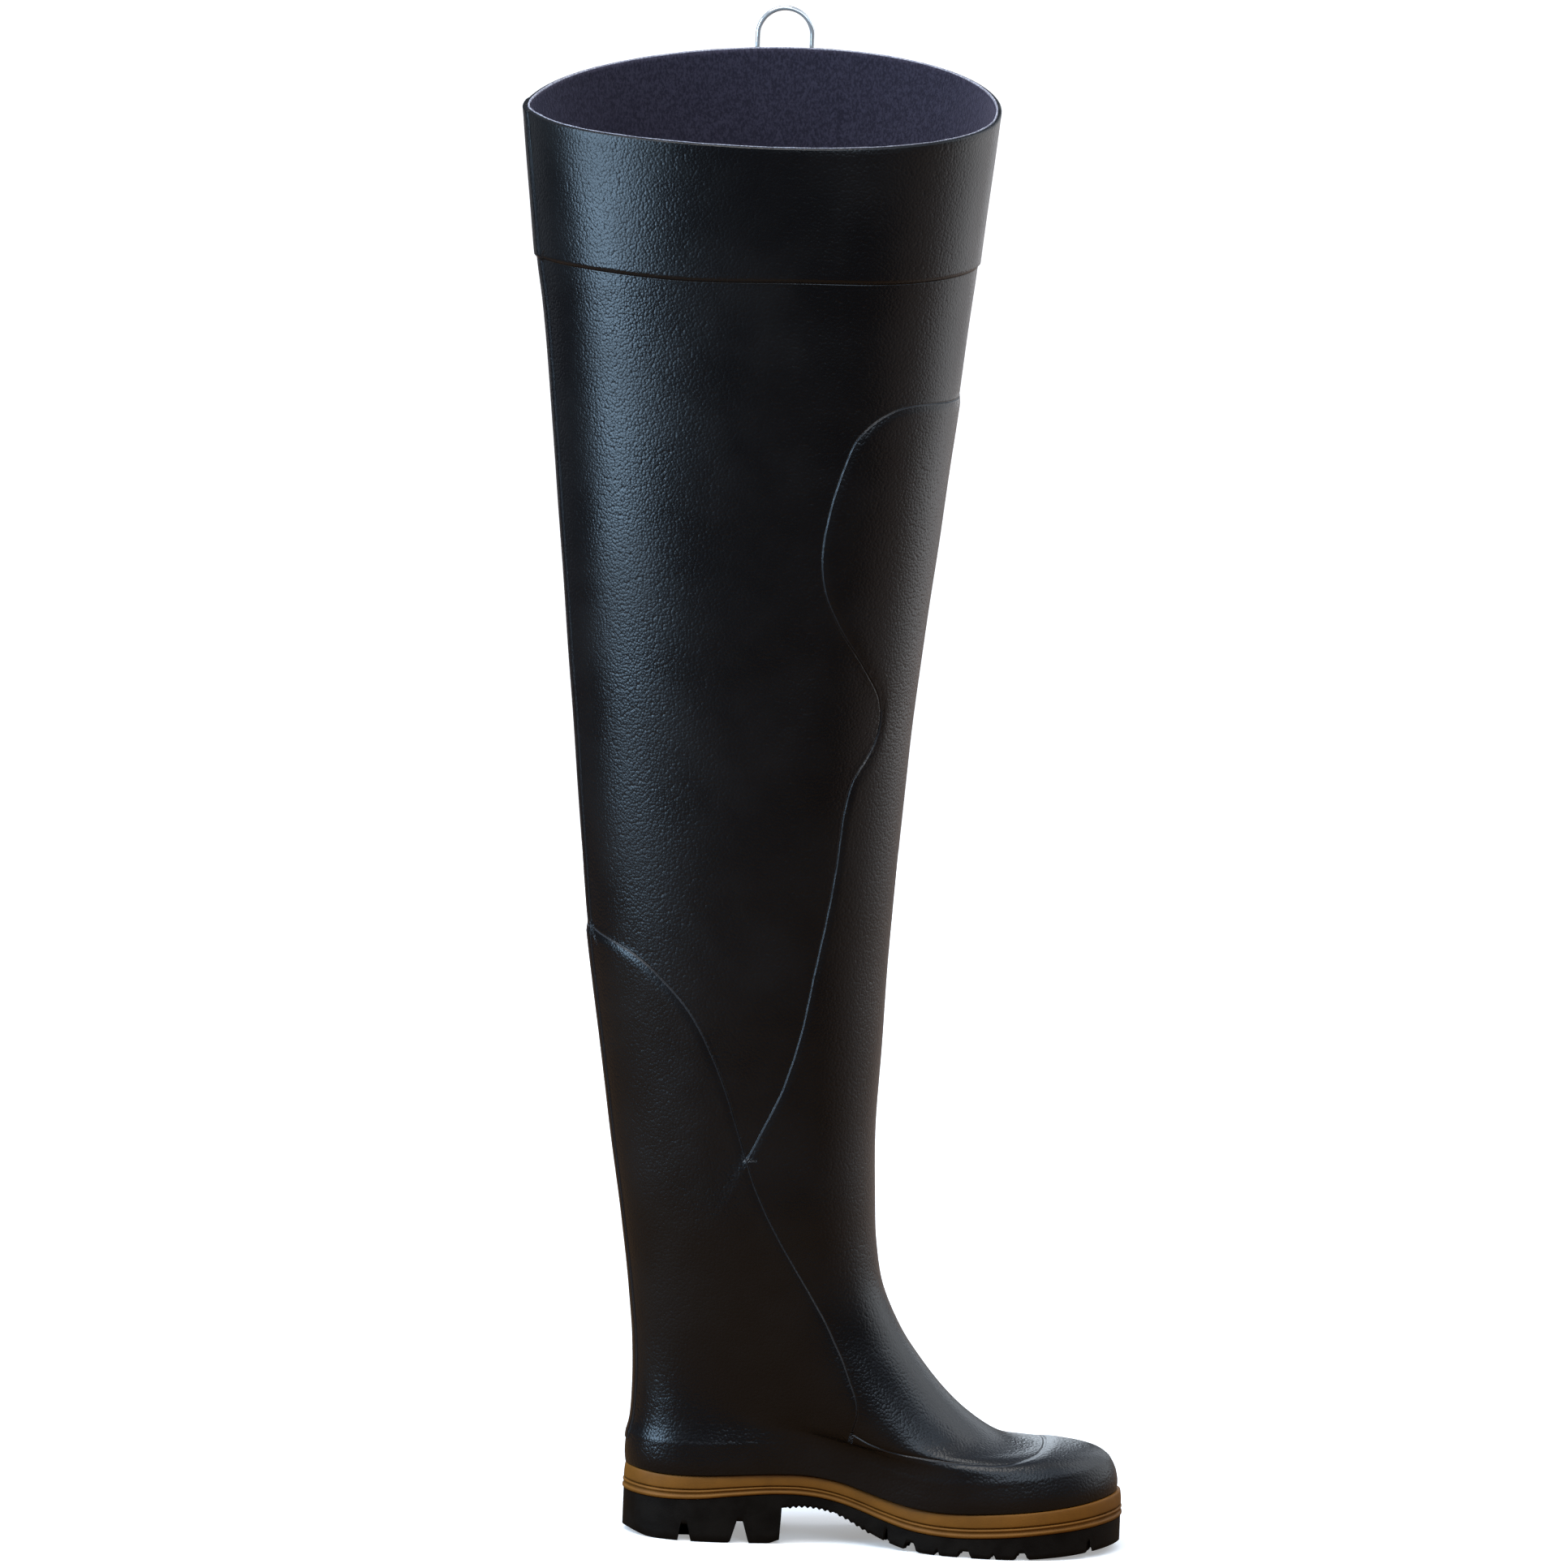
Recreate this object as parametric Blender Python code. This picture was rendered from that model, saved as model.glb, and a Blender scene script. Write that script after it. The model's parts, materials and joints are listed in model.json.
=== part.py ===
# Hip wader, left boot: a thigh-high rubber boot on a lugged sole, with a wire ring at its collar.
# Metres, +Z up, toe towards +X, outer (lateral) side towards +Y, inner (medial) side towards -Y.
# The origin is on the floor under the middle of the heel.

import bpy
import bmesh
import numpy as np
from math import pi, radians, sin, cos
from mathutils import Matrix

# Driving dimensions
SOLE_LENGTH = 0.2955       # heel to toe, over the beads of the band
HEEL_REACH = 0.0515        # from the origin back to the heel's end
BALL_MEDIAL = 0.0555       # half width at the ball, inner side
BALL_LATERAL = 0.0535      # half width at the ball, outer side
SEAT_HEIGHT = 0.041        # top of the band over the floor, at the heel
ANKLE_HEIGHT = 0.204       # where the shaft begins
ANKLE_LENGTH = 0.1487      # front to back, at the ankle
ANKLE_WIDTH = 0.107        # side to side, at the ankle
COLLAR_HEIGHT = 0.8515     # middle of the rim over the floor
COLLAR_LENGTH = 0.2775     # front to back, at the rim
COLLAR_WIDTH = 0.180       # side to side, at the rim
RIM_RISE = 0.0222          # the rim stands higher on the outer side
RIM_DIP = 0.0105           # it is cut lower on the inner side
RIM_SLANT = 0.0080         # and its front is higher than its back
WALL = 0.0025              # rubber and lining
GAP = 0.0003               # between pieces that touch
LAYER = 0.0012             # thickness of a rubber overlay
STRIP_WIDTH = 0.017        # tape over the back seam
STRIP_LAYER = 0.0009
TAPE_FOOT = 0.0143         # lower end of the heel's tape over the band's top edge
CUFF_HEIGHT = 0.0925       # from the cuff's lower edge to the middle of the rim
BAND_STEP = 0.0016         # how far the band leans in from its lower bead to its top edge
OUTSOLE_INSET = 0.0006     # black sole inside the beads
HEEL_FRONT = 0.0430        # heel breast, ahead of the origin
BREAST_SLOPE = 0.0006      # share of the sole's length over which the heel's front face drops
HEEL_BEVEL = 0.0016        # lower edge of the heel and the sole
INSOLE_THICKNESS = 0.003
INSOLE_CLEARANCE = 0.0006

# The wire ring, on the outer side of the collar
RING_WIRE = 0.0030
RING_WIDTH = 0.0350        # over the wire
RING_RISE = 0.0316         # from the hinge axis to the top of the wire's centre line
RING_CORNER = 0.0035
RING_TUCK = 0.0090         # hinge axis below the rim's highest point
RING_FORWARD = 0.0105      # middle of the ring ahead of the origin
TAB_LENGTH = 0.036
TAB_WIDTH = 0.022
TAB_LAYER = 0.0018
HINGE_CLEARANCE = 0.0004

COLUMNS = 38               # points around each section of the upper and the sole
LINE_STEPS = 2             # pieces of a panel line between two rows of its table

# Outline of the foot, seen from above: shares of the length, and of the half widths at the ball
OUTLINE_COLUMNS = ("station", "medial", "lateral")
OUTLINE = (
    (0.0275, 0.372, 0.386),
    (0.096, 0.600, 0.622),
    (0.165, 0.662, 0.685),
    (0.234, 0.645, 0.690),
    (0.320, 0.580, 0.695),
    (0.423, 0.535, 0.742),
    (0.526, 0.650, 0.850),
    (0.629, 0.890, 0.970),
    (0.732, 1.000, 1.000),
    (0.835, 0.955, 0.910),
    (0.921, 0.765, 0.705),
    (0.983, 0.378, 0.338),
)

# Lines along the side of the sole: shares of the length, and of the seat height
LINE_COLUMNS = ("station", "band_top", "band_foot", "underside")
LINES = (
    (0.00, 0.985, 0.615, 0.500),
    (0.08, 0.948, 0.602, 0.500),
    (0.15, 0.958, 0.626, 0.500),
    (0.22, 0.985, 0.682, 0.500),
    (0.30, 1.008, 0.724, 0.500),
    (0.36, 1.003, 0.716, 0.553),
    (0.40, 0.968, 0.680, 0.523),
    (0.44, 0.908, 0.615, 0.435),
    (0.48, 0.822, 0.525, 0.285),
    (0.52, 0.735, 0.425, 0.140),
    (0.57, 0.660, 0.330, 0.032),
    (0.62, 0.626, 0.292, 0.002),
    (0.68, 0.628, 0.285, 0.000),
    (0.74, 0.652, 0.310, 0.000),
    (0.80, 0.682, 0.345, 0.004),
    (0.87, 0.735, 0.398, 0.036),
    (0.94, 0.803, 0.452, 0.088),
    (1.00, 0.875, 0.500, 0.140),
)

# Sections of the foot, from the sole's edge up to the ankle. Places along the foot are shares of
# the sole's length, heights are shares of the rise from the band to the ankle, half widths are
# shares of those at the ball, and the crown is a share of the seat height.
FOOT_COLUMNS = ("back_x", "back_z", "front_x", "front_z", "width", "foot", "follow", "crown")
FOOT = (
    (0.0098, 0.000, 0.9804, 0.000, 0.935, 1.00, 1.00, 0.000),
    (0.0075, 0.036, 0.9807, 0.037, 0.955, 1.00, 0.95, 0.000),
    (0.0080, 0.075, 0.9740, 0.079, 0.950, 0.97, 0.85, 0.010),
    (0.0118, 0.118, 0.9575, 0.118, 0.935, 0.93, 0.65, 0.035),
    (0.0162, 0.161, 0.9290, 0.139, 0.915, 0.86, 0.45, 0.070),
    (0.0183, 0.207, 0.8760, 0.149, 0.890, 0.77, 0.30, 0.095),
    (0.0190, 0.253, 0.8105, 0.153, 0.870, 0.66, 0.20, 0.095),
    (0.0190, 0.302, 0.7496, 0.176, 0.850, 0.53, 0.10, 0.080),
    (0.0183, 0.357, 0.6887, 0.239, 0.835, 0.40, 0.05, 0.050),
    (0.0166, 0.418, 0.6360, 0.321, 0.825, 0.30, 0.00, 0.025),
    (0.0139, 0.489, 0.5854, 0.426, 0.825, 0.20, 0.00, 0.000),
    (0.0085, 0.578, 0.5398, 0.542, 0.840, 0.11, 0.00, 0.000),
    (0.0000, 0.700, 0.5008, 0.691, 0.875, 0.05, 0.00, 0.000),
    (-0.0122, 0.844, 0.4840, 0.845, 0.920, 0.00, 0.00, 0.000),
)

# Sections of the shaft, from the ankle to the rim. The rise is a share of the shaft's height, the
# lean moves the section's middle forward by shares of the sole's length, and the girth goes from
# the ankle's size (0) to the collar's (1).
SHAFT_COLUMNS = ("rise", "lean", "girth", "rim")
SHAFT = (
    (0.000, 0.2262, 0.000, 0.0),
    (0.060, 0.2134, 0.040, 0.0),
    (0.133, 0.2034, 0.108, 0.0),
    (0.225, 0.1900, 0.198, 0.0),
    (0.326, 0.1838, 0.286, 0.0),
    (0.426, 0.1795, 0.373, 0.0),
    (0.527, 0.1773, 0.476, 0.0),
    (0.627, 0.1775, 0.585, 0.0),
    (0.729, 0.1782, 0.695, 0.0),
    (0.812, 0.1753, 0.788, 0.0),
    (0.857, 0.1728, 0.848, 0.0),
    (0.928, 0.1720, 0.925, 0.5),
    (1.000, 0.1715, 1.000, 1.0),
)

# How pointed the section is at its back: little at the heel, most at the rim
EGG_SLOPE = 0.43
EGG_MIDDLE = 0.55
PINCH_RIM = 0.55
PINCH_REACH = 0.035        # share of the section's length

# Lines of the panels, seen from the side. Places are shares of the section's length from back to
# front, and heights are shares of the rise from floor to ankle, plus shares of the shaft's rise.
PANEL_COLUMNS = ("place", "height")
FRONT_LINE = (
    (1.250, 1.743),
    (1.000, 1.743),
    (0.918, 1.746),
    (0.803, 1.734),
    (0.758, 1.716),
    (0.730, 1.688),
    (0.704, 1.643),
    (0.696, 1.607),
    (0.707, 1.580),
    (0.757, 1.544),
    (0.841, 1.504),
    (0.897, 1.471),
    (0.905, 1.450),
    (0.879, 1.421),
    (0.842, 1.401),
    (0.822, 1.372),
    (0.810, 1.325),
    (0.755, 1.217),
    (0.712, 1.160),
    (0.637, 1.104),
    (0.585, 1.078),
    (0.511, 1.046),
)
HEEL_LINE = (
    (-0.300, 1.245),
    (0.000, 1.244),
    (0.050, 1.238),
    (0.148, 1.227),
    (0.252, 1.203),
    (0.335, 1.175),
    (0.394, 1.143),
    (0.435, 1.115),
    (0.472, 1.083),
    (0.511, 1.046),
    (0.553, 1.012),
    (0.635, 0.895),
    (0.700, 0.785),
    (0.743, 0.670),
    (0.750, 0.600),
    (0.734, 0.497),
    (0.700, 0.415),
    (0.625, 0.346),
)
# Upper edge of the toe cap: shares of the sole's length and of the seat height
TOE_COLUMNS = ("place", "height")
TOE_LINE = (
    (0.500, 1.572),
    (0.543, 1.488),
    (0.585, 1.434),
    (0.636, 1.383),
    (0.707, 1.337),
    (0.765, 1.344),
    (0.808, 1.395),
    (0.838, 1.460),
    (0.855, 1.560),
    (0.858, 2.100),
)

# Side of the band, from its top edge down: shares of its height, and of its step
BAND_COLUMNS = ("height", "inset")
BAND = (
    (1.00, 1.00),
    (0.95, 0.80),
    (0.44, 0.45),
    (0.40, 0.85),
    (0.35, 0.40),
    (0.28, 0.10),
    (0.20, 0.50),
    (0.13, 0.00),
    (0.05, 0.10),
    (0.00, 0.50),
)

# Cuts through the sole from side to side: place of the middle as a share of the sole's length,
# width at the floor, width at the top, and depth
GROOVE_COLUMNS = ("place", "foot_width", "top_width", "depth")
GROOVES = (
    (0.2376, 0.0111, 0.0036, 0.0130),
    (0.5296, 0.0028, 0.0018, 0.0075),
    (0.5783, 0.0072, 0.0042, 0.0050),
    (0.6318, 0.0027, 0.0018, 0.0027),
    (0.6863, 0.0077, 0.0047, 0.0038),
    (0.7431, 0.0027, 0.0018, 0.0026),
    (0.7997, 0.0075, 0.0045, 0.0040),
    (0.9337, 0.0032, 0.0020, 0.0066),
)
SIDE_GROOVE_PLACE = 0.1272     # blind cut in each side of the heel
SIDE_GROOVE_WIDTH = 0.0073
SIDE_GROOVE_TOP = 0.0042
SIDE_GROOVE_HEIGHT = 0.0100
SIDE_GROOVE_DEPTH = 0.0130
SIDE_GROOVE_REACH = 0.0366     # from the boot's middle line out to the cut's inner end


def clear_scene():
    for obj in list(bpy.data.objects):
        bpy.data.objects.remove(obj, do_unlink=True)


def new_collection(name):
    collection = bpy.data.collections.new(name)
    bpy.context.scene.collection.children.link(collection)
    return collection


def make_material(name, colour, roughness, metallic=0.0):
    material = bpy.data.materials.new(name)
    material.use_nodes = True
    shader = material.node_tree.nodes["Principled BSDF"]
    shader.inputs["Base Color"].default_value = (*colour, 1.0)
    shader.inputs["Roughness"].default_value = roughness
    shader.inputs["Metallic"].default_value = metallic
    return material


def column(table, index):
    return np.array([row[index] for row in table], float)


def curve_through(at, xs, ys):
    """A smooth curve through the points (cubic pieces, slopes from the neighbours)."""
    xs = np.asarray(xs, float)
    ys = np.asarray(ys, float)
    at = np.clip(np.asarray(at, float), xs[0], xs[-1])
    slopes = np.gradient(ys, xs)
    i = np.clip(np.searchsorted(xs, at) - 1, 0, len(xs) - 2)
    step = xs[i + 1] - xs[i]
    t = (at - xs[i]) / step
    return ((1 + 2 * t) * (1 - t) ** 2 * ys[i] + t * (1 - t) ** 2 * step * slopes[i]
            + t * t * (3 - 2 * t) * ys[i + 1] + t * t * (t - 1) * step * slopes[i + 1])


def smooth_line(points, per_span):
    """Points of a table made into a smooth open line, by the distance between them."""
    points = np.asarray(points, float)
    along = np.concatenate(([0.0], np.cumsum(np.linalg.norm(np.diff(points, axis=0), axis=1))))
    at = np.concatenate([np.linspace(along[i], along[i + 1], per_span, endpoint=False)
                         for i in range(len(along) - 1)] + [along[-1:]])
    return np.stack([curve_through(at, along, points[:, 0]), curve_through(at, along, points[:, 1])], axis=1)


def oval(station):
    """Half width of an ellipse of half width 1, at a share of its length."""
    return 2.0 * np.sqrt(np.clip(station * (1.0 - station), 0.0, None))


def foot_shape(station, side):
    """How the foot's outline differs from an ellipse, at a share of its length."""
    index = OUTLINE_COLUMNS.index("medial") if side < 0 else OUTLINE_COLUMNS.index("lateral")
    stations = column(OUTLINE, 0)
    return curve_through(station, stations, column(OUTLINE, index) / oval(stations))


def sole_line(name, x):
    """Height of one of the lines along the sole's side."""
    station = (np.asarray(x, float) + HEEL_REACH) / SOLE_LENGTH
    return SEAT_HEIGHT * curve_through(station, column(LINES, 0), column(LINES, LINE_COLUMNS.index(name)))


def along_sole(share):
    return share * SOLE_LENGTH - HEEL_REACH


def sole_shares(extra=()):
    """Stations along the sole, closer together at its ends."""
    turn = np.linspace(0.0, pi, COLUMNS // 2 + 1)
    return np.sort(np.concatenate([0.5 - 0.5 * np.cos(turn), extra]))


def sole_ring(offset, share):
    """The sole's outline from above, as a closed ring from the heel round the inner side."""
    medial = -BALL_MEDIAL * oval(share) * foot_shape(share, -1)
    lateral = BALL_LATERAL * oval(share) * foot_shape(share, 1)
    x = np.concatenate([along_sole(share), along_sole(share[-2:0:-1])])
    y = np.concatenate([medial, lateral[-2:0:-1]])
    ahead = np.roll(np.stack([x, y], axis=1), -1, axis=0) - np.roll(np.stack([x, y], axis=1), 1, axis=0)
    ahead /= np.linalg.norm(ahead, axis=1)[:, None]
    return x + offset * ahead[:, 1], y - offset * ahead[:, 0]


def upper_rows():
    """Each section of the upper as its ends, half widths and weights, in metres."""
    seat_back = float(sole_line("band_top", along_sole(FOOT[0][0]))) + GAP
    seat_front = float(sole_line("band_top", along_sole(FOOT[0][2]))) + GAP
    rows = []
    for back_x, back_z, front_x, front_z, width, foot, follow, crown in FOOT:
        rows.append(dict(
            back=(along_sole(back_x), seat_back + back_z * (ANKLE_HEIGHT - seat_back)),
            front=(along_sole(front_x), seat_front + front_z * (ANKLE_HEIGHT - seat_front)),
            medial=width * BALL_MEDIAL, lateral=width * BALL_LATERAL * (1.0 + 0.02 * (1.0 - foot)),
            foot=foot, follow=follow, crown=crown * SEAT_HEIGHT, rim=0.0, pinch=0.0))
    for rise, lean, girth, rim in SHAFT:
        middle = along_sole(lean)
        half = 0.5 * (ANKLE_LENGTH + girth * (COLLAR_LENGTH - ANKLE_LENGTH))
        width = 0.5 * (ANKLE_WIDTH + girth * (COLLAR_WIDTH - ANKLE_WIDTH))
        height = ANKLE_HEIGHT + rise * (COLLAR_HEIGHT - ANKLE_HEIGHT)
        rows.append(dict(
            back=(middle - half, height), front=(middle + half, height), medial=width, lateral=width,
            foot=0.0, follow=0.0, crown=0.0, rim=rim, pinch=PINCH_RIM * rise ** 0.6))
    return rows


def upper_surface():
    """The upper's outer surface as a grid of points, a row for each section."""
    turn = np.linspace(0.0, 2.0 * pi, COLUMNS, endpoint=False)
    share = 0.5 - 0.5 * np.cos(turn)
    side = np.where(turn < pi, -1.0, 1.0)
    shape_medial = foot_shape(share, -1)
    shape_lateral = foot_shape(share, 1)
    egg = 1.0 + EGG_SLOPE * (share - EGG_MIDDLE)
    grid = []
    rows = upper_rows()
    first = rows[0]
    chord = first["back"][1] + share * (first["front"][1] - first["back"][1])
    sag = sole_line("band_top", first["back"][0] + share * (first["front"][0] - first["back"][0])) + GAP - chord
    for row in rows:
        x = row["back"][0] + share * (row["front"][0] - row["back"][0])
        shape = np.where(side < 0, shape_medial, shape_lateral)
        blend = (1.0 - row["foot"]) * egg + row["foot"] * shape
        blend = blend * (1.0 - row["pinch"] * np.exp(-share / PINCH_REACH))
        across = oval(share) * blend
        y = side * across * np.where(side < 0, row["medial"], row["lateral"])
        z = row["back"][1] + share * (row["front"][1] - row["back"][1])
        z = z + row["follow"] * sag - row["crown"] * across ** 2
        rise = np.where(side < 0, -RIM_DIP * across ** 0.6, RIM_RISE * oval(share) ** 1.1)
        z = z + row["rim"] * (rise + RIM_SLANT * (share - 0.5))
        grid.append(np.stack([x, y, z], axis=1))
    return np.array(grid)


def surface_normals(grid):
    around = np.roll(grid, -1, axis=1) - np.roll(grid, 1, axis=1)
    up = np.gradient(grid, axis=0)
    normal = np.cross(around, up)
    return normal / np.linalg.norm(normal, axis=2)[:, :, None]


def offset_surface(grid, distance):
    """The surface moved out along its normals, with its lower edge on the band and its rim level."""
    moved = grid + distance * surface_normals(grid)
    moved[0, :, 2] = sole_line("band_top", moved[0, :, 0]) + 1.5 * GAP
    moved[-1, :, 2] = grid[-1, :, 2]
    return moved


def new_object(name, mesh, material, collection):
    obj = bpy.data.objects.new(name, mesh)
    if material is not None:
        mesh.materials.append(material)
    collection.objects.link(obj)
    return obj


def mesh_from(name, points, faces):
    mesh = bpy.data.meshes.new(name)
    mesh.from_pydata([tuple(p) for p in points], [], faces)
    shaped = bmesh.new()
    shaped.from_mesh(mesh)
    bmesh.ops.recalc_face_normals(shaped, faces=shaped.faces)
    shaped.to_mesh(mesh)
    shaped.free()
    mesh.shade_smooth()
    mesh.set_sharp_from_angle(angle=radians(35))
    return mesh


def ring_faces(lower, upper, count):
    return [(lower + k, lower + (k + 1) % count, upper + (k + 1) % count, upper + k) for k in range(count)]


def strip_cap(start, count):
    """Faces that close a ring whose points face each other in pairs, from heel to toe."""
    half = count // 2
    faces = [(start, start + 1, start + count - 1)]
    for k in range(1, half - 1):
        faces.append((start + k, start + k + 1, start + count - k - 1, start + count - k))
    faces.append((start + half - 1, start + half, start + half + 1))
    return faces


def lofted_solid(name, rings):
    """A closed solid through rings of paired points, closed across its first and last ring."""
    rings = np.asarray(rings)
    rows, count = rings.shape[0], rings.shape[1]
    faces = []
    for r in range(rows - 1):
        faces += ring_faces(r * count, (r + 1) * count, count)
    faces += strip_cap(0, count) + strip_cap((rows - 1) * count, count)
    return mesh_from(name, rings.reshape(-1, 3), faces)


def shell_between(name, inner, outer):
    """A closed shell between two grids with the same rows and columns, open at both ends."""
    rows, count = inner.shape[0], inner.shape[1]
    size = rows * count
    faces = []
    for r in range(rows - 1):
        faces += ring_faces(r * count, (r + 1) * count, count)
        faces += ring_faces(size + r * count, size + (r + 1) * count, count)
    faces += ring_faces(0, size, count)
    faces += ring_faces((rows - 1) * count, size + (rows - 1) * count, count)
    return mesh_from(name, np.concatenate([inner.reshape(-1, 3), outer.reshape(-1, 3)]), faces)


def boolean(obj, cutter, operation):
    modifier = obj.modifiers.new(cutter.name, "BOOLEAN")
    modifier.operation = operation
    modifier.solver = "EXACT"
    modifier.object = cutter


def hide_cutter(obj):
    obj.hide_render = True
    obj.display_type = "WIRE"
    return obj


def mesh_of_curve(obj, name, collection, material=None):
    """The curve made a closed mesh, its caps welded."""
    bpy.context.view_layer.update()
    evaluated = obj.evaluated_get(bpy.context.evaluated_depsgraph_get())
    mesh = bpy.data.meshes.new_from_object(evaluated)
    mesh.transform(obj.matrix_world)
    shaped = bmesh.new()
    shaped.from_mesh(mesh)
    bmesh.ops.remove_doubles(shaped, verts=shaped.verts, dist=1e-6)
    bmesh.ops.recalc_face_normals(shaped, faces=shaped.faces)
    shaped.to_mesh(mesh)
    shaped.free()
    mesh.materials.clear()
    bpy.data.objects.remove(obj, do_unlink=True)
    return new_object(name, mesh, material, collection)


def prism(name, outline, half_depth, collection, along="Y", middle=0.0):
    """A cutter: a flat outline of (across, height) points, extruded both ways along an axis."""
    flat = bpy.data.curves.new(name + "_outline", "CURVE")
    flat.dimensions = "2D"
    flat.fill_mode = "BOTH"
    flat.extrude = half_depth
    spline = flat.splines.new("POLY")
    spline.points.add(len(outline) - 1)
    for point, (across, height) in zip(spline.points, outline):
        point.co = (across, height, 0.0, 1.0)
    spline.use_cyclic_u = True
    obj = bpy.data.objects.new(name + "_outline", flat)
    upright = Matrix.Rotation(pi / 2, 4, "X")
    if along == "Y":
        obj.matrix_world = Matrix.Translation((0.0, middle, 0.0)) @ upright
    else:
        obj.matrix_world = Matrix.Translation((middle, 0.0, 0.0)) @ Matrix.Rotation(pi / 2, 4, "Z") @ upright
    collection.objects.link(obj)
    return hide_cutter(mesh_of_curve(obj, name, collection))


def panel_point(place, height, rows):
    """A point of a panel line: its height first, then its place between the boot's back and front."""
    if height > 1.0:
        z = ANKLE_HEIGHT + (height - 1.0) * (COLLAR_HEIGHT - ANKLE_HEIGHT)
    else:
        z = height * ANKLE_HEIGHT
    back = np.interp(z, [row["back"][1] for row in rows], [row["back"][0] for row in rows])
    front = np.interp(z, [row["front"][1] for row in rows], [row["front"][0] for row in rows])
    return back + place * (front - back), z


def make_upper(grid, materials, parts):
    mesh = shell_between("upper", offset_surface(grid, -WALL), grid)
    return new_object("upper", mesh, materials["rubber"], parts)


def overlay(name, grid, inner, outer, materials, parts):
    """A thin solid that lies on the upper all round, still to be cut to its outline."""
    mesh = shell_between(name, offset_surface(grid, inner), offset_surface(grid, outer))
    return new_object(name, mesh, materials["rubber"], parts)


def make_overlays(grid, materials, parts, cutters):
    rows = upper_rows()
    depth = COLLAR_WIDTH
    out = SOLE_LENGTH
    low = -SEAT_HEIGHT
    front_points = [panel_point(place, height, rows) for place, height in FRONT_LINE]
    heel_points = [panel_point(place, height, rows) for place, height in HEEL_LINE]
    crossing = HEEL_LINE.index(FRONT_LINE[-1])
    toe_points = [heel_points[-1]] + [(along_sole(place), height * SEAT_HEIGHT) for place, height in TOE_LINE]

    heel_curve = smooth_line(heel_points, LINE_STEPS)
    below_crossing = smooth_line(heel_points[crossing:], LINE_STEPS) + (GAP, 0.0)
    toe_curve = smooth_line(toe_points, LINE_STEPS)
    front_curve = smooth_line(front_points, LINE_STEPS)

    heel_outline = list(heel_curve) + [(heel_curve[-1][0], low), (-out, low), (-out, heel_curve[0][1])]
    toe_outline = [(x + 2 * GAP, z) for x, z in toe_curve] + [(out, toe_curve[-1][1]), (out, low),
                                                              (toe_curve[0][0] + 2 * GAP, low)]
    front_outline = (list(front_curve[:-1]) + list(below_crossing[:-1])
                     + [(x + GAP, z + GAP) for x, z in toe_curve] + [(out, toe_curve[-1][1] + GAP),
                                                                    (out, front_curve[0][1])])

    outer = GAP + LAYER
    front = overlay("front_panel", grid, GAP, outer, materials, parts)
    boolean(front, prism("front_outline", front_outline, depth, cutters), "INTERSECT")
    heel = overlay("heel_panel", grid, GAP, outer, materials, parts)
    boolean(heel, prism("heel_outline", heel_outline, depth, cutters), "INTERSECT")
    toe = overlay("toe_cap", grid, GAP, outer, materials, parts)
    boolean(toe, prism("toe_outline", toe_outline, depth, cutters), "INTERSECT")

    strip_half = 0.5 * STRIP_WIDTH
    cuff_foot = COLLAR_HEIGHT - CUFF_HEIGHT
    above = COLLAR_HEIGHT + 2.0 * RIM_RISE
    cuff = overlay("cuff", grid, GAP, outer, materials, parts)
    cuff_box = ((-out, cuff_foot), (out, cuff_foot), (out, above), (-out, above))
    boolean(cuff, prism("cuff_outline", cuff_box, depth, cutters), "INTERSECT")
    slot_half = strip_half + GAP
    slot = ((-slot_half, low), (slot_half, low), (slot_half, above), (-slot_half, above))
    boolean(cuff, prism("strip_slot", slot, 0.5 * out, cutters, "X", -0.5 * out), "DIFFERENCE")

    heel_top = heel_curve[0][1]
    strip = overlay("back_strip", grid, GAP, outer + STRIP_LAYER, materials, parts)
    strip_box = ((-strip_half, heel_top + GAP), (strip_half, heel_top + GAP), (strip_half, above), (-strip_half, above))
    boolean(strip, prism("strip_outline", strip_box, 0.5 * out, cutters, "X", -0.5 * out), "INTERSECT")
    tape = overlay("heel_strip", grid, outer + GAP, outer + GAP + STRIP_LAYER, materials, parts)
    tape_foot = SEAT_HEIGHT + TAPE_FOOT
    tape_box = ((-strip_half, tape_foot), (strip_half, tape_foot), (strip_half, heel_top), (-strip_half, heel_top))
    boolean(tape, prism("tape_outline", tape_box, 0.5 * out, cutters, "X", -0.5 * out), "INTERSECT")


def make_midsole(materials, parts):
    """The tan band: a slab under the upper, its side stepped into a wall, a groove and two beads."""
    rings = []
    for height, inset in BAND:
        x, y = sole_ring(-inset * BAND_STEP, sole_shares())
        top = sole_line("band_top", x)
        foot = sole_line("band_foot", x)
        rings.append(np.stack([x, y, foot + height * (top - foot)], axis=1))
    return new_object("midsole", lofted_solid("midsole", rings), materials["band"], parts)


def make_insole(grid, materials, parts):
    """A thin footbed inside the upper, on top of the band."""
    inner = offset_surface(grid, -WALL - INSOLE_CLEARANCE)
    step = min(1.0, INSOLE_THICKNESS / float(inner[1, 0, 2] - inner[0, 0, 2]))
    top = inner[0] + step * (inner[1] - inner[0])
    base = inner[0].copy()
    base[:, 2] = sole_line("band_top", base[:, 0]) + GAP
    top[:, 2] = base[:, 2] + INSOLE_THICKNESS
    return new_object("insole", lofted_solid("insole", [base, top]), materials["lining"], parts)


def trapezoid(middle, foot_width, top_width, depth, base=0.0):
    below = base - 0.25 * depth
    spread = 0.5 * foot_width + 0.125 * (foot_width - top_width)
    return ((middle - spread, below), (middle + spread, below),
            (middle + 0.5 * top_width, base + depth), (middle - 0.5 * top_width, base + depth))


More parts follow.
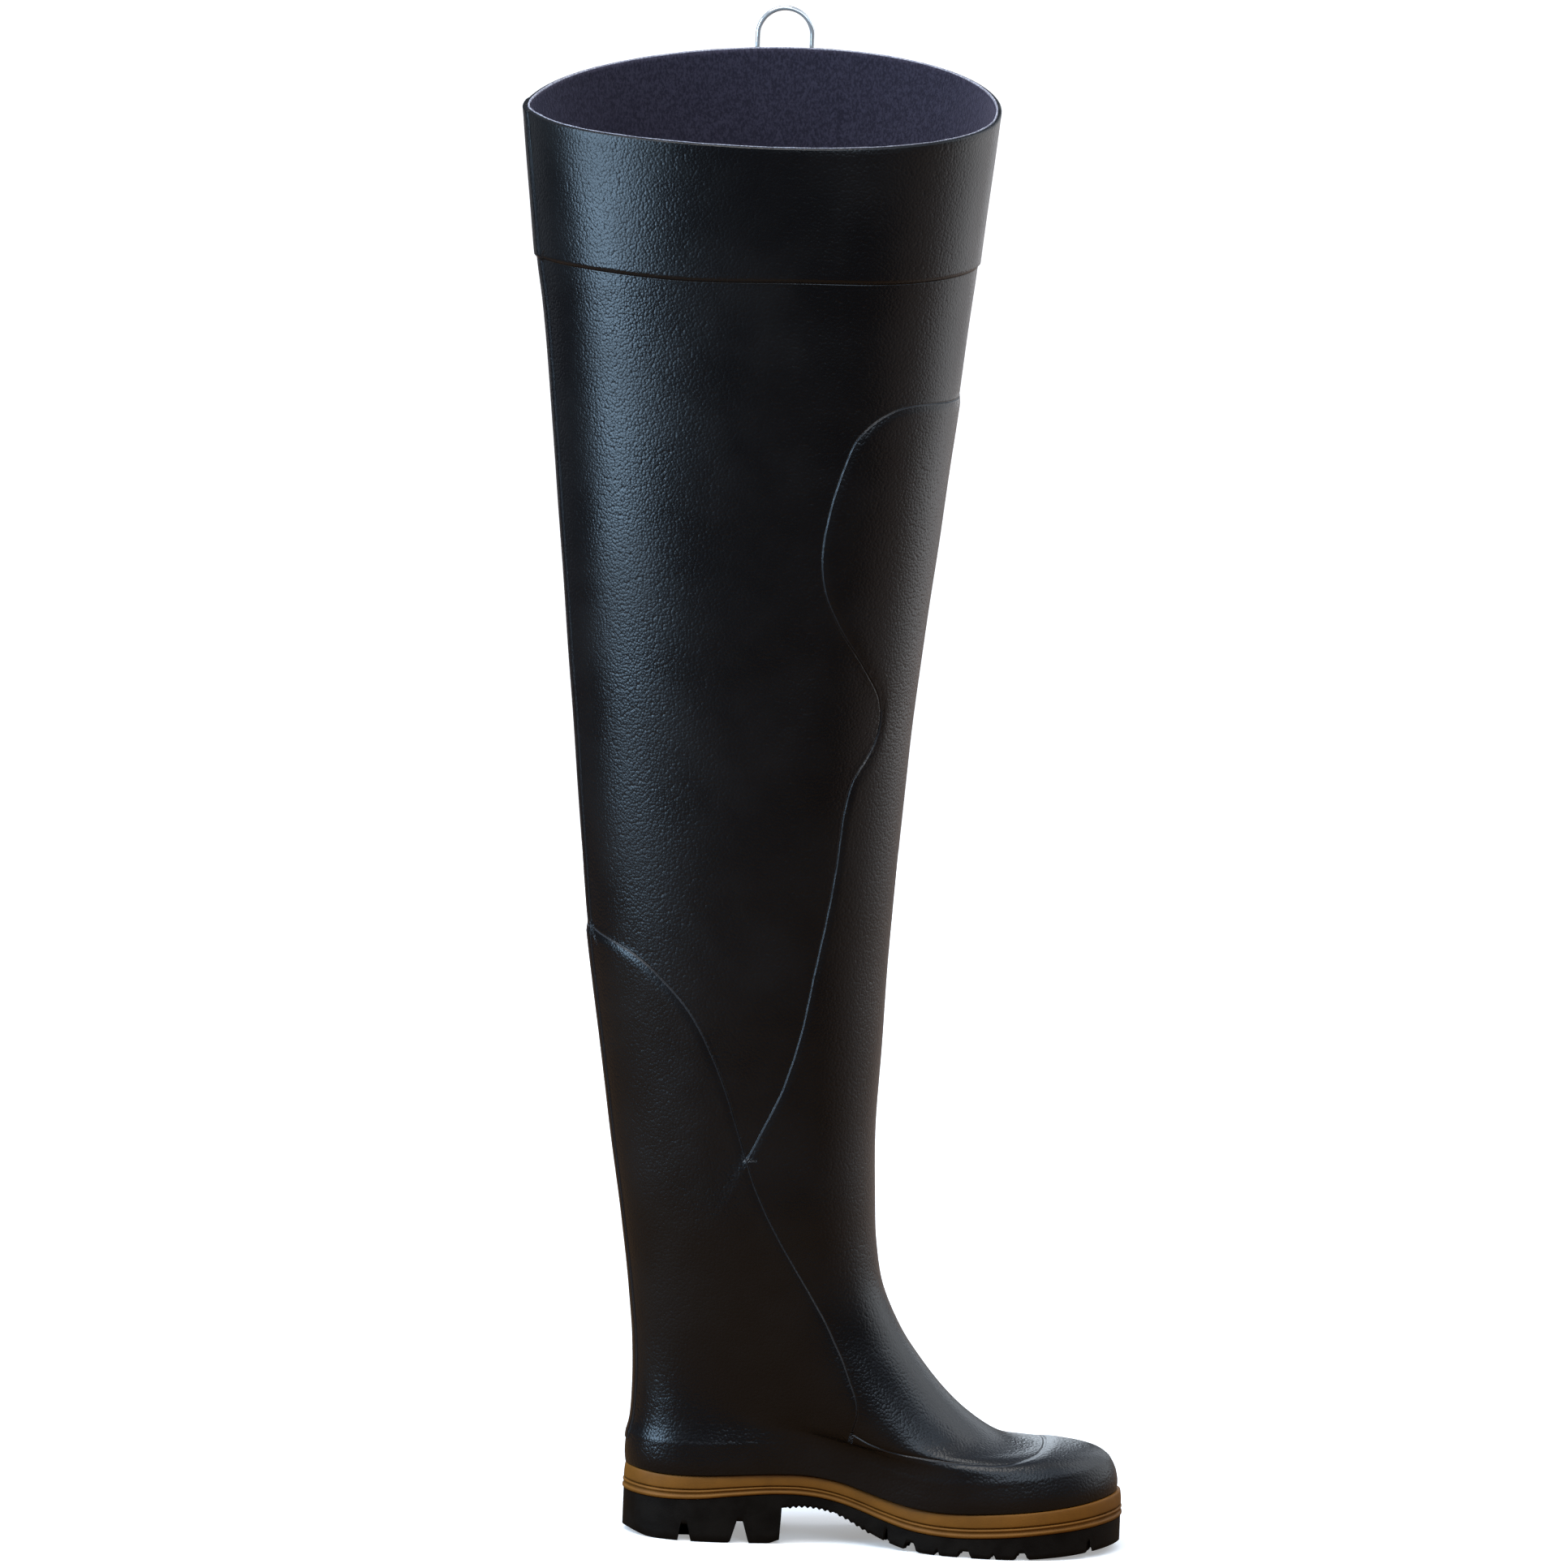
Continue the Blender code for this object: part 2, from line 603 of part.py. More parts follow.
def make_outsole(materials, parts, cutters):
    """The black sole: the body with its arch and toe spring, the heel block, and the cuts between lugs."""
    breast = (HEEL_FRONT + HEEL_REACH) / SOLE_LENGTH
    share = sole_shares((breast - BREAST_SLOPE, breast + BREAST_SLOPE))
    x, y = sole_ring(-OUTSOLE_INSET, share)
    low_x, low_y = sole_ring(-OUTSOLE_INSET - HEEL_BEVEL, share)
    mirrored = np.concatenate([share, share[-2:0:-1]])
    under = np.where(mirrored < breast, 0.0, sole_line("underside", x))
    spans = along_sole(sole_shares())
    band_foot = np.interp(x, spans, sole_line("band_foot", spans))
    top = np.stack([x, y, band_foot - GAP], axis=1)
    side = np.stack([x, y, under + HEEL_BEVEL], axis=1)
    low = np.stack([low_x, low_y, under], axis=1)
    outsole = new_object("outsole", lofted_solid("outsole", [top, side, low]), materials["sole"], parts)

    for number, (place, foot_width, top_width, depth) in enumerate(GROOVES, 1):
        cut = trapezoid(along_sole(place), foot_width, top_width, depth)
        boolean(outsole, prism(f"groove_{number}", cut, 2.0 * BALL_MEDIAL, cutters), "DIFFERENCE")
    cut = trapezoid(along_sole(SIDE_GROOVE_PLACE), SIDE_GROOVE_WIDTH, SIDE_GROOVE_TOP, SIDE_GROOVE_HEIGHT)
    for side_name, sign in (("medial", -1.0), ("lateral", 1.0)):
        middle = sign * (SIDE_GROOVE_REACH + SIDE_GROOVE_DEPTH)
        cutter = prism(f"side_groove_{side_name}", cut, 2.0 * SIDE_GROOVE_DEPTH, cutters, "Y", middle)
        boolean(outsole, cutter, "DIFFERENCE")
    return outsole


def ring_axis(grid):
    """Where the ring's hinge lies: outside the rim's highest stretch, a little below it."""
    outer = offset_surface(grid, 2.0 * GAP + LAYER)
    half = COLUMNS // 2
    lateral = outer[-1, half:, :]
    order = np.argsort(lateral[:, 0])
    rim_y = np.interp(RING_FORWARD, lateral[order, 0], lateral[order, 1])
    rim_z = np.interp(RING_FORWARD, lateral[order, 0], lateral[order, 2])
    barrel = 0.5 * RING_WIRE + HINGE_CLEARANCE + TAB_LAYER
    return rim_y + barrel + GAP, rim_z - RING_TUCK, barrel


def make_ring_tab(grid, materials, parts, cutters):
    """The folded tab on the outer side: a patch on the cuff and a barrel round the ring's bar."""
    axis_y, axis_z, barrel = ring_axis(grid)
    inner = LAYER + 2.0 * GAP
    tab = overlay("ring_tab", grid, inner, inner + TAB_LAYER, materials, parts)
    half = 0.5 * TAB_WIDTH
    patch = ((RING_FORWARD - half, axis_z - TAB_LENGTH), (RING_FORWARD + half, axis_z - TAB_LENGTH),
             (RING_FORWARD + half, axis_z), (RING_FORWARD - half, axis_z))
    boolean(tab, prism("tab_outline", patch, 0.5 * COLLAR_WIDTH, cutters, "Y", 0.5 * COLLAR_WIDTH), "INTERSECT")
    turned = Matrix.Translation((RING_FORWARD, axis_y, axis_z)) @ Matrix.Rotation(pi / 2, 4, "Y")
    for name, radius, depth, operation in (("tab_barrel", barrel, TAB_WIDTH, "UNION"),
                                           ("tab_bore", 0.5 * RING_WIRE + HINGE_CLEARANCE, 2.0 * TAB_WIDTH,
                                            "DIFFERENCE")):
        shaped = bmesh.new()
        bmesh.ops.create_cone(shaped, cap_ends=True, segments=20, radius1=radius, radius2=radius, depth=depth)
        mesh = bpy.data.meshes.new(name)
        shaped.to_mesh(mesh)
        shaped.free()
        mesh.transform(turned)
        boolean(tab, hide_cutter(new_object(name, mesh, None, cutters)), operation)
    return tab


def make_strap_ring(grid, materials, parts):
    """The D-shaped wire ring: a straight bar on the hinge axis, two legs and a round arch."""
    axis_y, axis_z, _ = ring_axis(grid)
    half = 0.5 * (RING_WIDTH - RING_WIRE)
    arch_centre = RING_RISE - half
    points = []
    for corner_x, start in ((half - RING_CORNER, -pi / 2), ):
        for turn in np.linspace(start, 0.0, 5):
            points.append((corner_x + RING_CORNER * cos(turn), RING_CORNER + RING_CORNER * sin(turn)))
    for turn in np.linspace(0.0, pi, 17):
        points.append((half * cos(turn), arch_centre + half * sin(turn)))
    for turn in np.linspace(pi, 1.5 * pi, 5):
        points.append((-half + RING_CORNER + RING_CORNER * cos(turn), RING_CORNER + RING_CORNER * sin(turn)))
    wire = bpy.data.curves.new("strap_ring", "CURVE")
    wire.dimensions = "3D"
    wire.bevel_depth = 0.5 * RING_WIRE
    wire.bevel_resolution = 2
    spline = wire.splines.new("POLY")
    spline.points.add(len(points) - 1)
    for point, (x, z) in zip(spline.points, points):
        point.co = (x, 0.0, z, 1.0)
    spline.use_cyclic_u = True
    ring = bpy.data.objects.new("strap_ring", wire)
    wire.materials.append(materials["steel"])
    ring.location = (RING_FORWARD, axis_y, axis_z)
    parts.objects.link(ring)
    return ring


def main():
    clear_scene()
    parts = new_collection("hip_wader")
    cutters = new_collection("cutters")
    materials = {
        "rubber": make_material("black_rubber", (0.010, 0.011, 0.014), 0.42),
        "band": make_material("tan_rubber", (0.130, 0.056, 0.012), 0.55),
        "sole": make_material("sole_rubber", (0.008, 0.007, 0.006), 0.60),
        "lining": make_material("navy_lining", (0.020, 0.019, 0.032), 0.95),
        "steel": make_material("polished_steel", (0.62, 0.62, 0.60), 0.15, 1.0),
    }
    grid = upper_surface()
    make_upper(grid, materials, parts)
    make_midsole(materials, parts)
    make_insole(grid, materials, parts)
    make_outsole(materials, parts, cutters)
    make_overlays(grid, materials, parts, cutters)
    make_ring_tab(grid, materials, parts, cutters)
    make_strap_ring(grid, materials, parts)


main()
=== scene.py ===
# Hip wader for the left foot: black grained rubber leg and foot, tan band, lugged sole, ring at the collar.
# Metres, +Z up, toe to +X, inner side of the foot to -Y, origin on the floor under the heel.
import json
import math

import bmesh
import bpy
import numpy as np
from mathutils import Matrix, Vector


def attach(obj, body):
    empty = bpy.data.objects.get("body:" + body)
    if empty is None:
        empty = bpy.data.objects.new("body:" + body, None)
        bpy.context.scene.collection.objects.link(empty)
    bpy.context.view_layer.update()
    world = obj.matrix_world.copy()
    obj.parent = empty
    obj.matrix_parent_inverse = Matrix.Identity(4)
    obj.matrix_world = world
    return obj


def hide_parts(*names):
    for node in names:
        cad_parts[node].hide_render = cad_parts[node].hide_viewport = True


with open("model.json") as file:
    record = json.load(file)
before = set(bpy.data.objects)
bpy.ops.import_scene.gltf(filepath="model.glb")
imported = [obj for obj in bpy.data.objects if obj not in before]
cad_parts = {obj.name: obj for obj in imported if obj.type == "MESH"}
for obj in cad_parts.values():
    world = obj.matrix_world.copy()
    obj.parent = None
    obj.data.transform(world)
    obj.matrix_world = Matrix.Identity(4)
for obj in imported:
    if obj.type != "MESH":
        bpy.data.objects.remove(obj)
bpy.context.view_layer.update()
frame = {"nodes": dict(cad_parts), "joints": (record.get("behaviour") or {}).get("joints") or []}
print("frame loaded:", len(frame["nodes"]), "nodes")

# sizes shared by all pieces, as the part has them
boot = {
    "soleLength": 0.2955,
    "heelReach": 0.0515,
    "ballMedial": 0.0555,
    "ballLateral": 0.0535,
    "seatHeight": 0.041,
    "ankleHeight": 0.204,
    "ankleLength": 0.1487,
    "ankleWidth": 0.107,
    "collarHeight": 0.8515,
    "collarLength": 0.2775,
    "collarWidth": 0.180,
    "rimRise": 0.0222,
    "rimDip": 0.0105,
    "rimSlant": 0.0080,
    "eggSlope": 0.43,
    "eggMiddle": 0.55,
    "pinchRim": 0.55,
    "pinchReach": 0.035,
    "gap": 0.0003,
}

# outline of the foot from above: station, medial, lateral
outline = np.array((
    (0.0275, 0.372, 0.386), (0.096, 0.600, 0.622), (0.165, 0.662, 0.685), (0.234, 0.645, 0.690),
    (0.320, 0.580, 0.695), (0.423, 0.535, 0.742), (0.526, 0.650, 0.850), (0.629, 0.890, 0.970),
    (0.732, 1.000, 1.000), (0.835, 0.955, 0.910), (0.921, 0.765, 0.705), (0.983, 0.378, 0.338)))

# lines along the sole: station, top of the band, foot of the band, underside
soleLines = np.array((
    (0.00, 0.985, 0.615, 0.500), (0.08, 0.948, 0.602, 0.500), (0.15, 0.958, 0.626, 0.500),
    (0.22, 0.985, 0.682, 0.500), (0.30, 1.008, 0.724, 0.500), (0.36, 1.003, 0.716, 0.553),
    (0.40, 0.968, 0.680, 0.523), (0.44, 0.908, 0.615, 0.435), (0.48, 0.822, 0.525, 0.285),
    (0.52, 0.735, 0.425, 0.140), (0.57, 0.660, 0.330, 0.032), (0.62, 0.626, 0.292, 0.002),
    (0.68, 0.628, 0.285, 0.000), (0.74, 0.652, 0.310, 0.000), (0.80, 0.682, 0.345, 0.004),
    (0.87, 0.735, 0.398, 0.036), (0.94, 0.803, 0.452, 0.088), (1.00, 0.875, 0.500, 0.140)))

# sections of the foot: back x and z, front x and z, width, foot share, follow, crown
footRows = np.array((
    (0.0098, 0.000, 0.9804, 0.000, 0.935, 1.00, 1.00, 0.000),
    (0.0075, 0.036, 0.9807, 0.037, 0.955, 1.00, 0.95, 0.000),
    (0.0080, 0.075, 0.9740, 0.079, 0.950, 0.97, 0.85, 0.010),
    (0.0118, 0.118, 0.9575, 0.118, 0.935, 0.93, 0.65, 0.035),
    (0.0162, 0.161, 0.9290, 0.139, 0.915, 0.86, 0.45, 0.070),
    (0.0183, 0.207, 0.8760, 0.149, 0.890, 0.77, 0.30, 0.095),
    (0.0190, 0.253, 0.8105, 0.153, 0.870, 0.66, 0.20, 0.095),
    (0.0190, 0.302, 0.7496, 0.176, 0.850, 0.53, 0.10, 0.080),
    (0.0183, 0.357, 0.6887, 0.239, 0.835, 0.40, 0.05, 0.050),
    (0.0166, 0.418, 0.6360, 0.321, 0.825, 0.30, 0.00, 0.025),
    (0.0139, 0.489, 0.5854, 0.426, 0.825, 0.20, 0.00, 0.000),
    (0.0085, 0.578, 0.5398, 0.542, 0.840, 0.11, 0.00, 0.000),
    (0.0000, 0.700, 0.5008, 0.691, 0.875, 0.05, 0.00, 0.000),
    (-0.0122, 0.844, 0.4840, 0.845, 0.920, 0.00, 0.00, 0.000)))

# sections of the leg: rise, lean, girth, rim
legRows = np.array((
    (0.000, 0.2262, 0.000, 0.0), (0.060, 0.2134, 0.040, 0.0), (0.133, 0.2034, 0.108, 0.0),
    (0.225, 0.1900, 0.198, 0.0), (0.326, 0.1838, 0.286, 0.0), (0.426, 0.1795, 0.373, 0.0),
    (0.527, 0.1773, 0.476, 0.0), (0.627, 0.1775, 0.585, 0.0), (0.729, 0.1782, 0.695, 0.0),
    (0.812, 0.1753, 0.788, 0.0), (0.857, 0.1728, 0.848, 0.0), (0.928, 0.1720, 0.925, 0.5),
    (1.000, 0.1715, 1.000, 1.0)))

# edges of the raised layers, seen from the side: place between back and front, height
frontEdge = np.array((
    (1.250, 1.743), (1.000, 1.743), (0.918, 1.746), (0.860, 1.744), (0.803, 1.734), (0.758, 1.716),
    (0.730, 1.688), (0.704, 1.643), (0.696, 1.607), (0.707, 1.580), (0.757, 1.544), (0.841, 1.504),
    (0.897, 1.471), (0.905, 1.450), (0.879, 1.421), (0.842, 1.401), (0.822, 1.372), (0.810, 1.325),
    (0.788, 1.270), (0.755, 1.217), (0.712, 1.160), (0.637, 1.104), (0.585, 1.078), (0.511, 1.046)))
heelEdge = np.array((
    (-0.300, 1.245), (0.000, 1.244), (0.050, 1.238), (0.148, 1.227), (0.252, 1.203), (0.335, 1.175),
    (0.394, 1.143), (0.435, 1.115), (0.472, 1.083), (0.511, 1.046), (0.553, 1.012), (0.635, 0.895),
    (0.700, 0.785), (0.743, 0.670), (0.750, 0.600), (0.734, 0.497), (0.700, 0.415), (0.625, 0.346)))
buriedEdge = np.array(((0.511, 1.046), (0.440, 1.010), (0.370, 0.960), (0.330, 0.900)))
toeEdge = np.array((
    (0.500, 1.572), (0.543, 1.488), (0.585, 1.434), (0.636, 1.383), (0.707, 1.337), (0.765, 1.344),
    (0.808, 1.395), (0.838, 1.460), (0.855, 1.560), (0.858, 2.100)))


def curveThrough(at, xs, ys):
    # cubic pieces through the points, each slope taken from the two neighbours
    at = np.clip(np.asarray(at, float), xs[0], xs[-1])
    slopes = np.gradient(ys, xs)
    i = np.clip(np.searchsorted(xs, at) - 1, 0, len(xs) - 2)
    step = xs[i + 1] - xs[i]
    t = (at - xs[i]) / step
    return ((1 + 2 * t) * (1 - t) ** 2 * ys[i] + t * (1 - t) ** 2 * step * slopes[i]
            + t * t * (3 - 2 * t) * ys[i + 1] + t * t * (t - 1) * step * slopes[i + 1])


def smoothLine(points, perSpan):
    # the same cubic, run along a polyline by the distance between its points
    along = np.concatenate(([0.0], np.cumsum(np.linalg.norm(np.diff(points, axis=0), axis=1))))
    at = np.interp(np.arange((len(along) - 1) * perSpan + 1) / perSpan, np.arange(len(along)), along)
    return np.stack([curveThrough(at, along, points[:, 0]), curveThrough(at, along, points[:, 1])], axis=1)


def smoothStep(d, low, high):
    # 0 below low, 1 above high, and 3t2 - 2t3 between them
    t = np.clip((d - low) / (high - low), 0.0, 1.0)
    return t * t * (3.0 - 2.0 * t)


def oval(share):
    # half width of an ellipse: 2 times the root of s (1 - s)
    return 2.0 * np.sqrt(np.clip(share * (1.0 - share), 0.0, None))


def footShape(share, column):
    # outline over ellipse, smooth through the table
    return curveThrough(share, outline[:, 0], outline[:, column] / oval(outline[:, 0]))


def alongSole(share):
    # x of a place given as a share of the sole's length from the heel
    return share * boot["soleLength"] - boot["heelReach"]


def soleLine(column, x):
    # height of a line of the sole at x
    share = (np.asarray(x, float) + boot["heelReach"]) / boot["soleLength"]
    return boot["seatHeight"] * curveThrough(share, soleLines[:, 0], soleLines[:, column])


def upperRows():
    # a row for each section: back x z, front x z, medial, lateral, foot, follow, crown, rim, pinch
    seatBack = soleLine(1, alongSole(footRows[0, 0])) + boot["gap"]
    seatFront = soleLine(1, alongSole(footRows[0, 2])) + boot["gap"]
    ankle = boot["ankleHeight"]
    foot = np.stack([
        alongSole(footRows[:, 0]), seatBack + footRows[:, 1] * (ankle - seatBack),
        alongSole(footRows[:, 2]), seatFront + footRows[:, 3] * (ankle - seatFront),
        footRows[:, 4] * boot["ballMedial"],
        footRows[:, 4] * boot["ballLateral"] * (1.0 + 0.02 * (1.0 - footRows[:, 5])),
        footRows[:, 5], footRows[:, 6], footRows[:, 7] * boot["seatHeight"],
        0 * footRows[:, 0], 0 * footRows[:, 0]], axis=1)
    middle = alongSole(legRows[:, 1])
    half = 0.5 * (boot["ankleLength"] + legRows[:, 2] * (boot["collarLength"] - boot["ankleLength"]))
    width = 0.5 * (boot["ankleWidth"] + legRows[:, 2] * (boot["collarWidth"] - boot["ankleWidth"]))
    height = ankle + legRows[:, 0] * (boot["collarHeight"] - ankle)
    none = 0 * middle
    leg = np.stack([middle - half, height, middle + half, height, width, width, none, none, none,
                    legRows[:, 3], boot["pinchRim"] * legRows[:, 0] ** 0.6], axis=1)
    return np.concatenate([foot, leg])


sectionRows = upperRows()
sectionIndex = np.arange(len(sectionRows), dtype=float)


def sectionAt(level):
    # all the numbers of a section between two rows of the table, by the cubic
    return np.stack([curveThrough(level, sectionIndex, sectionRows[:, k]) for k in range(11)], axis=-1)


def upperPoints(level, turn):
    # outer surface: level runs from the sole (0) to the rim (26), turn goes once round from the back.
    # x and z go from the section's back to its front by s = (1 - cos turn) / 2, y is the half width
    # times the oval times the blend of foot outline and egg, pinched at the back of the leg
    q = sectionAt(level)[:, None, :]
    turn = np.broadcast_to(turn, (len(level), len(turn))) if turn.ndim == 1 else turn
    share = 0.5 - 0.5 * np.cos(turn)
    medialSide = turn < math.pi
    egg = 1.0 + boot["eggSlope"] * (share - boot["eggMiddle"])
    shape = np.where(medialSide, footShape(share, 1), footShape(share, 2))
    blend = (1.0 - q[..., 6]) * egg + q[..., 6] * shape
    blend = blend * (1.0 - q[..., 10] * np.exp(-share / boot["pinchReach"]))
    across = oval(share) * blend
    x = q[..., 0] + share * (q[..., 2] - q[..., 0])
    y = np.where(medialSide, -q[..., 4], q[..., 5]) * across
    first = sectionRows[0]
    chord = first[1] + share * (first[3] - first[1])
    sag = soleLine(1, first[0] + share * (first[2] - first[0])) + boot["gap"] - chord
    z = q[..., 1] + share * (q[..., 3] - q[..., 1]) + q[..., 7] * sag - q[..., 8] * across ** 2
    rise = np.where(medialSide, -boot["rimDip"] * across ** 0.6, boot["rimRise"] * oval(share) ** 1.1)
    z = z + np.clip(q[..., 9], 0, None) * (rise + boot["rimSlant"] * (share - 0.5))
    return np.stack([x, y, z], axis=-1)


def unit(vectors):
    # each vector over its length
    return vectors / np.linalg.norm(vectors, axis=-1, keepdims=True)


def nextLessLast(points, axis=0):
    # the way ahead at each point of a closed ring
    return np.roll(points, -1, axis=axis) - np.roll(points, 1, axis=axis)


def turns(count):
    # equal turns once round
    return np.linspace(0.0, 2.0 * math.pi, count, endpoint=False)


def gridNormals(grid):
    # cross product of the way round and the way up
    around = nextLessLast(grid, 1)
    up = np.gradient(grid, axis=0)
    normal = np.cross(around, up)
    return normal / np.maximum(np.linalg.norm(normal, axis=2)[:, :, None], 1e-12)


def edgeLine(table):
    # place and height of an edge made x and z on the side view
    ankle = boot["ankleHeight"]
    height = table[:, 1]
    z = np.where(height > 1.0, ankle + (height - 1.0) * (boot["collarHeight"] - ankle), height * ankle)
    back = np.interp(z, sectionRows[:, 1], sectionRows[:, 0])
    front = np.interp(z, sectionRows[:, 3], sectionRows[:, 2])
    return np.stack([back + table[:, 0] * (front - back), z], axis=1)


def lineDistance(x, z, line):
    # least distance from each point to the pieces of the line
    best = np.full(x.shape, 1e9)
    for a, b in zip(line[:-1], line[1:]):
        run = b - a
        t = np.clip(((x - a[0]) * run[0] + (z - a[1]) * run[1]) / (run @ run), 0.0, 1.0)
        best = np.minimum(best, np.hypot(x - a[0] - t * run[0], z - a[1] - t * run[1]))
    return best


def insideOutline(x, z, outlinePoints):
    # even and odd crossings of a ray to the right
    inside = np.zeros(x.shape, bool)
    for a, b in zip(outlinePoints, np.roll(outlinePoints, -1, axis=0)):
        crosses = (a[1] > z) != (b[1] > z)
        with np.errstate(divide="ignore", invalid="ignore"):
            at = a[0] + (z - a[1]) * (b[0] - a[0]) / (b[1] - a[1])
        inside ^= crosses & (x < at)
    return inside


def newMesh(name, points, faces, material, sharpAngle=None):
    # a smooth-shaded mesh from an array of points and an array of faces with equally many corners
    points = np.reshape(points, (-1, 3))
    faces = np.asarray(faces, dtype=np.int32)
    mesh = bpy.data.meshes.new(name)
    mesh.vertices.add(len(points))
    mesh.vertices.foreach_set("co", np.ascontiguousarray(points, dtype=np.float32).ravel())
    mesh.loops.add(faces.size)
    mesh.loops.foreach_set("vertex_index", faces.ravel())
    mesh.polygons.add(len(faces))
    mesh.polygons.foreach_set("loop_start", np.arange(0, faces.size, faces.shape[1], dtype=np.int32))
    mesh.update(calc_edges=True)
    mesh.validate()
    mesh.materials.append(material)
    mesh.shade_smooth()
    if sharpAngle:
        mesh.set_sharp_from_angle(angle=math.radians(sharpAngle))
    obj = bpy.data.objects.new(name, mesh)
    bpy.context.scene.collection.objects.link(obj)
    return obj


def gridFaces(rows, columns, flip=False, joined=False, capped=False):
    # quads between closed rings of points, one ring a row. Joined closes the last ring to the first; capped
    # fills both end rings, of an even count, with quads from one side across to the other
    r = np.arange(rows if joined else rows - 1)[:, None]
    c = np.arange(columns)[None, :]
    above, beside = (r + 1) % rows, (c + 1) % columns
    quads = np.stack([r * columns + c, r * columns + beside, above * columns + beside, above * columns + c],
                     axis=-1).reshape(-1, 4)
    if capped:
        k = np.arange(columns // 2 - 1)
        cap = np.stack([columns - 1 - k, columns - 2 - k, k + 1, k], axis=1)
        quads = np.concatenate([quads, cap, cap[:, ::-1] + (rows - 1) * columns])
    return quads[:, ::-1] if flip else quads


def closeWith(obj, triangles=()):
    # adds triangles to a mesh, merges doubled points and turns all faces outwards
    made = bmesh.new()
    made.from_mesh(obj.data)
    made.verts.ensure_lookup_table()
    for corners in triangles:
        made.faces.new([made.verts[k] for k in corners])
    bmesh.ops.remove_doubles(made, verts=made.verts, dist=1e-7)
    bmesh.ops.recalc_face_normals(made, faces=made.faces)
    made.to_mesh(obj.data)
    made.free()
    obj.data.shade_smooth()
    obj.data.set_sharp_from_angle(angle=math.radians(30))


def addAttribute(obj, name, values):
    # one number at each point, which a material reads by its name
    layer = obj.data.attributes.new(name, "FLOAT", "POINT")
    layer.data.foreach_set("value", np.ascontiguousarray(values, dtype=np.float32).ravel())


# parts of materials: colours in linear light, depths in metres, scales in lumps to a metre

def setInputs(tree, made, values):
    # a socket is linked, a number typed in, and a colour typed in with its alpha
    for name, value in values.items():
        if isinstance(value, bpy.types.NodeSocket):
            tree.links.new(value, made.inputs[name])
        else:
            made.inputs[name].default_value = (*value, 1.0) if isinstance(value, tuple) else value


def newMaterial(name):
    # a new material, its tree and its own shader
    material = bpy.data.materials.new(name)
    material.use_nodes = True
    tree = material.node_tree
    return material, tree, tree.nodes["Principled BSDF"]


def objectVector(tree, scale=(1.0, 1.0, 1.0)):
    # the piece's own coordinates, times the scale
    mapping = tree.nodes.new("ShaderNodeMapping")
    mapping.inputs["Scale"].default_value = scale
    setInputs(tree, mapping, {"Vector": tree.nodes.new("ShaderNodeTexCoord").outputs["Object"]})
    return mapping.outputs["Vector"]


def calculate(tree, operation, *values):
    # one Math node on one or two values
    made = tree.nodes.new("ShaderNodeMath")
    made.operation = operation
    setInputs(tree, made, dict(enumerate(values)))
    return made.outputs[0]


def product(tree, first, second):
    return calculate(tree, "MULTIPLY", first, second)


def total(tree, first, *others):
    # all values added up, one after the other
    for other in others:
        first = calculate(tree, "ADD", first, other)
    return first


def away(tree, value, middle):
    # how far the value is from the middle
    return calculate(tree, "ABSOLUTE", calculate(tree, "ADD", value, -middle))


def noise(tree, vector, scale, detail=3.0, rough=0.55):
    # soft noise from 0 to 1
    made = tree.nodes.new("ShaderNodeTexNoise")
    setInputs(tree, made, {"Vector": vector, "Scale": scale, "Detail": detail, "Roughness": rough})
    return made.outputs["Fac"]


def pebbles(tree, vector, scale):
    # the distance to the nearest cell's middle, squared: round tops with valleys between
    made = tree.nodes.new("ShaderNodeTexVoronoi")
    made.feature = "F1"
    setInputs(tree, made, {"Vector": vector, "Scale": scale})
    return calculate(tree, "POWER", made.outputs["Distance"], 2.0)


def carried(tree, name):
    # a number that the mesh carries at its points, 0 on a mesh without it
    made = tree.nodes.new("ShaderNodeAttribute")
    made.attribute_name = name
    return made.outputs["Fac"]


def ranged(tree, value, low, high, toLow=0.0, toHigh=1.0):
    # from toLow below low to toHigh above high, smooth at both ends
    made = tree.nodes.new("ShaderNodeMapRange")
    made.interpolation_type = "SMOOTHSTEP"
    setInputs(tree, made, {"Value": value, "From Min": low, "From Max": high,
                           "To Min": toLow, "To Max": toHigh})
    return made.outputs["Result"]


def mixed(tree, factor, first, second):
    # the first colour at factor 0, the second at 1
    made = tree.nodes.new("ShaderNodeMix")
    made.data_type = "RGBA"
    setInputs(tree, made, {"Factor": factor, "A": first, "B": second})
    return made.outputs["Result"]


def bumped(tree, height, distance=1.0):
    # a normal from a height, times the distance, in metres
    made = tree.nodes.new("ShaderNodeBump")
    setInputs(tree, made, {"Distance": distance, "Strength": 1.0, "Height": height})
    return made.outputs["Normal"]


def cameraOrOthers(tree, output, seen, reflected):
    # the camera's own rays meet one shader, all other rays another
    mix = tree.nodes.new("ShaderNodeMixShader")
    ray = tree.nodes.new("ShaderNodeLightPath")
    setInputs(tree, mix, {0: ray.outputs["Is Camera Ray"], 1: reflected.outputs[0], 2: seen.outputs[0]})
    setInputs(tree, tree.nodes[output], {"Surface": mix.outputs[0]})


# materials

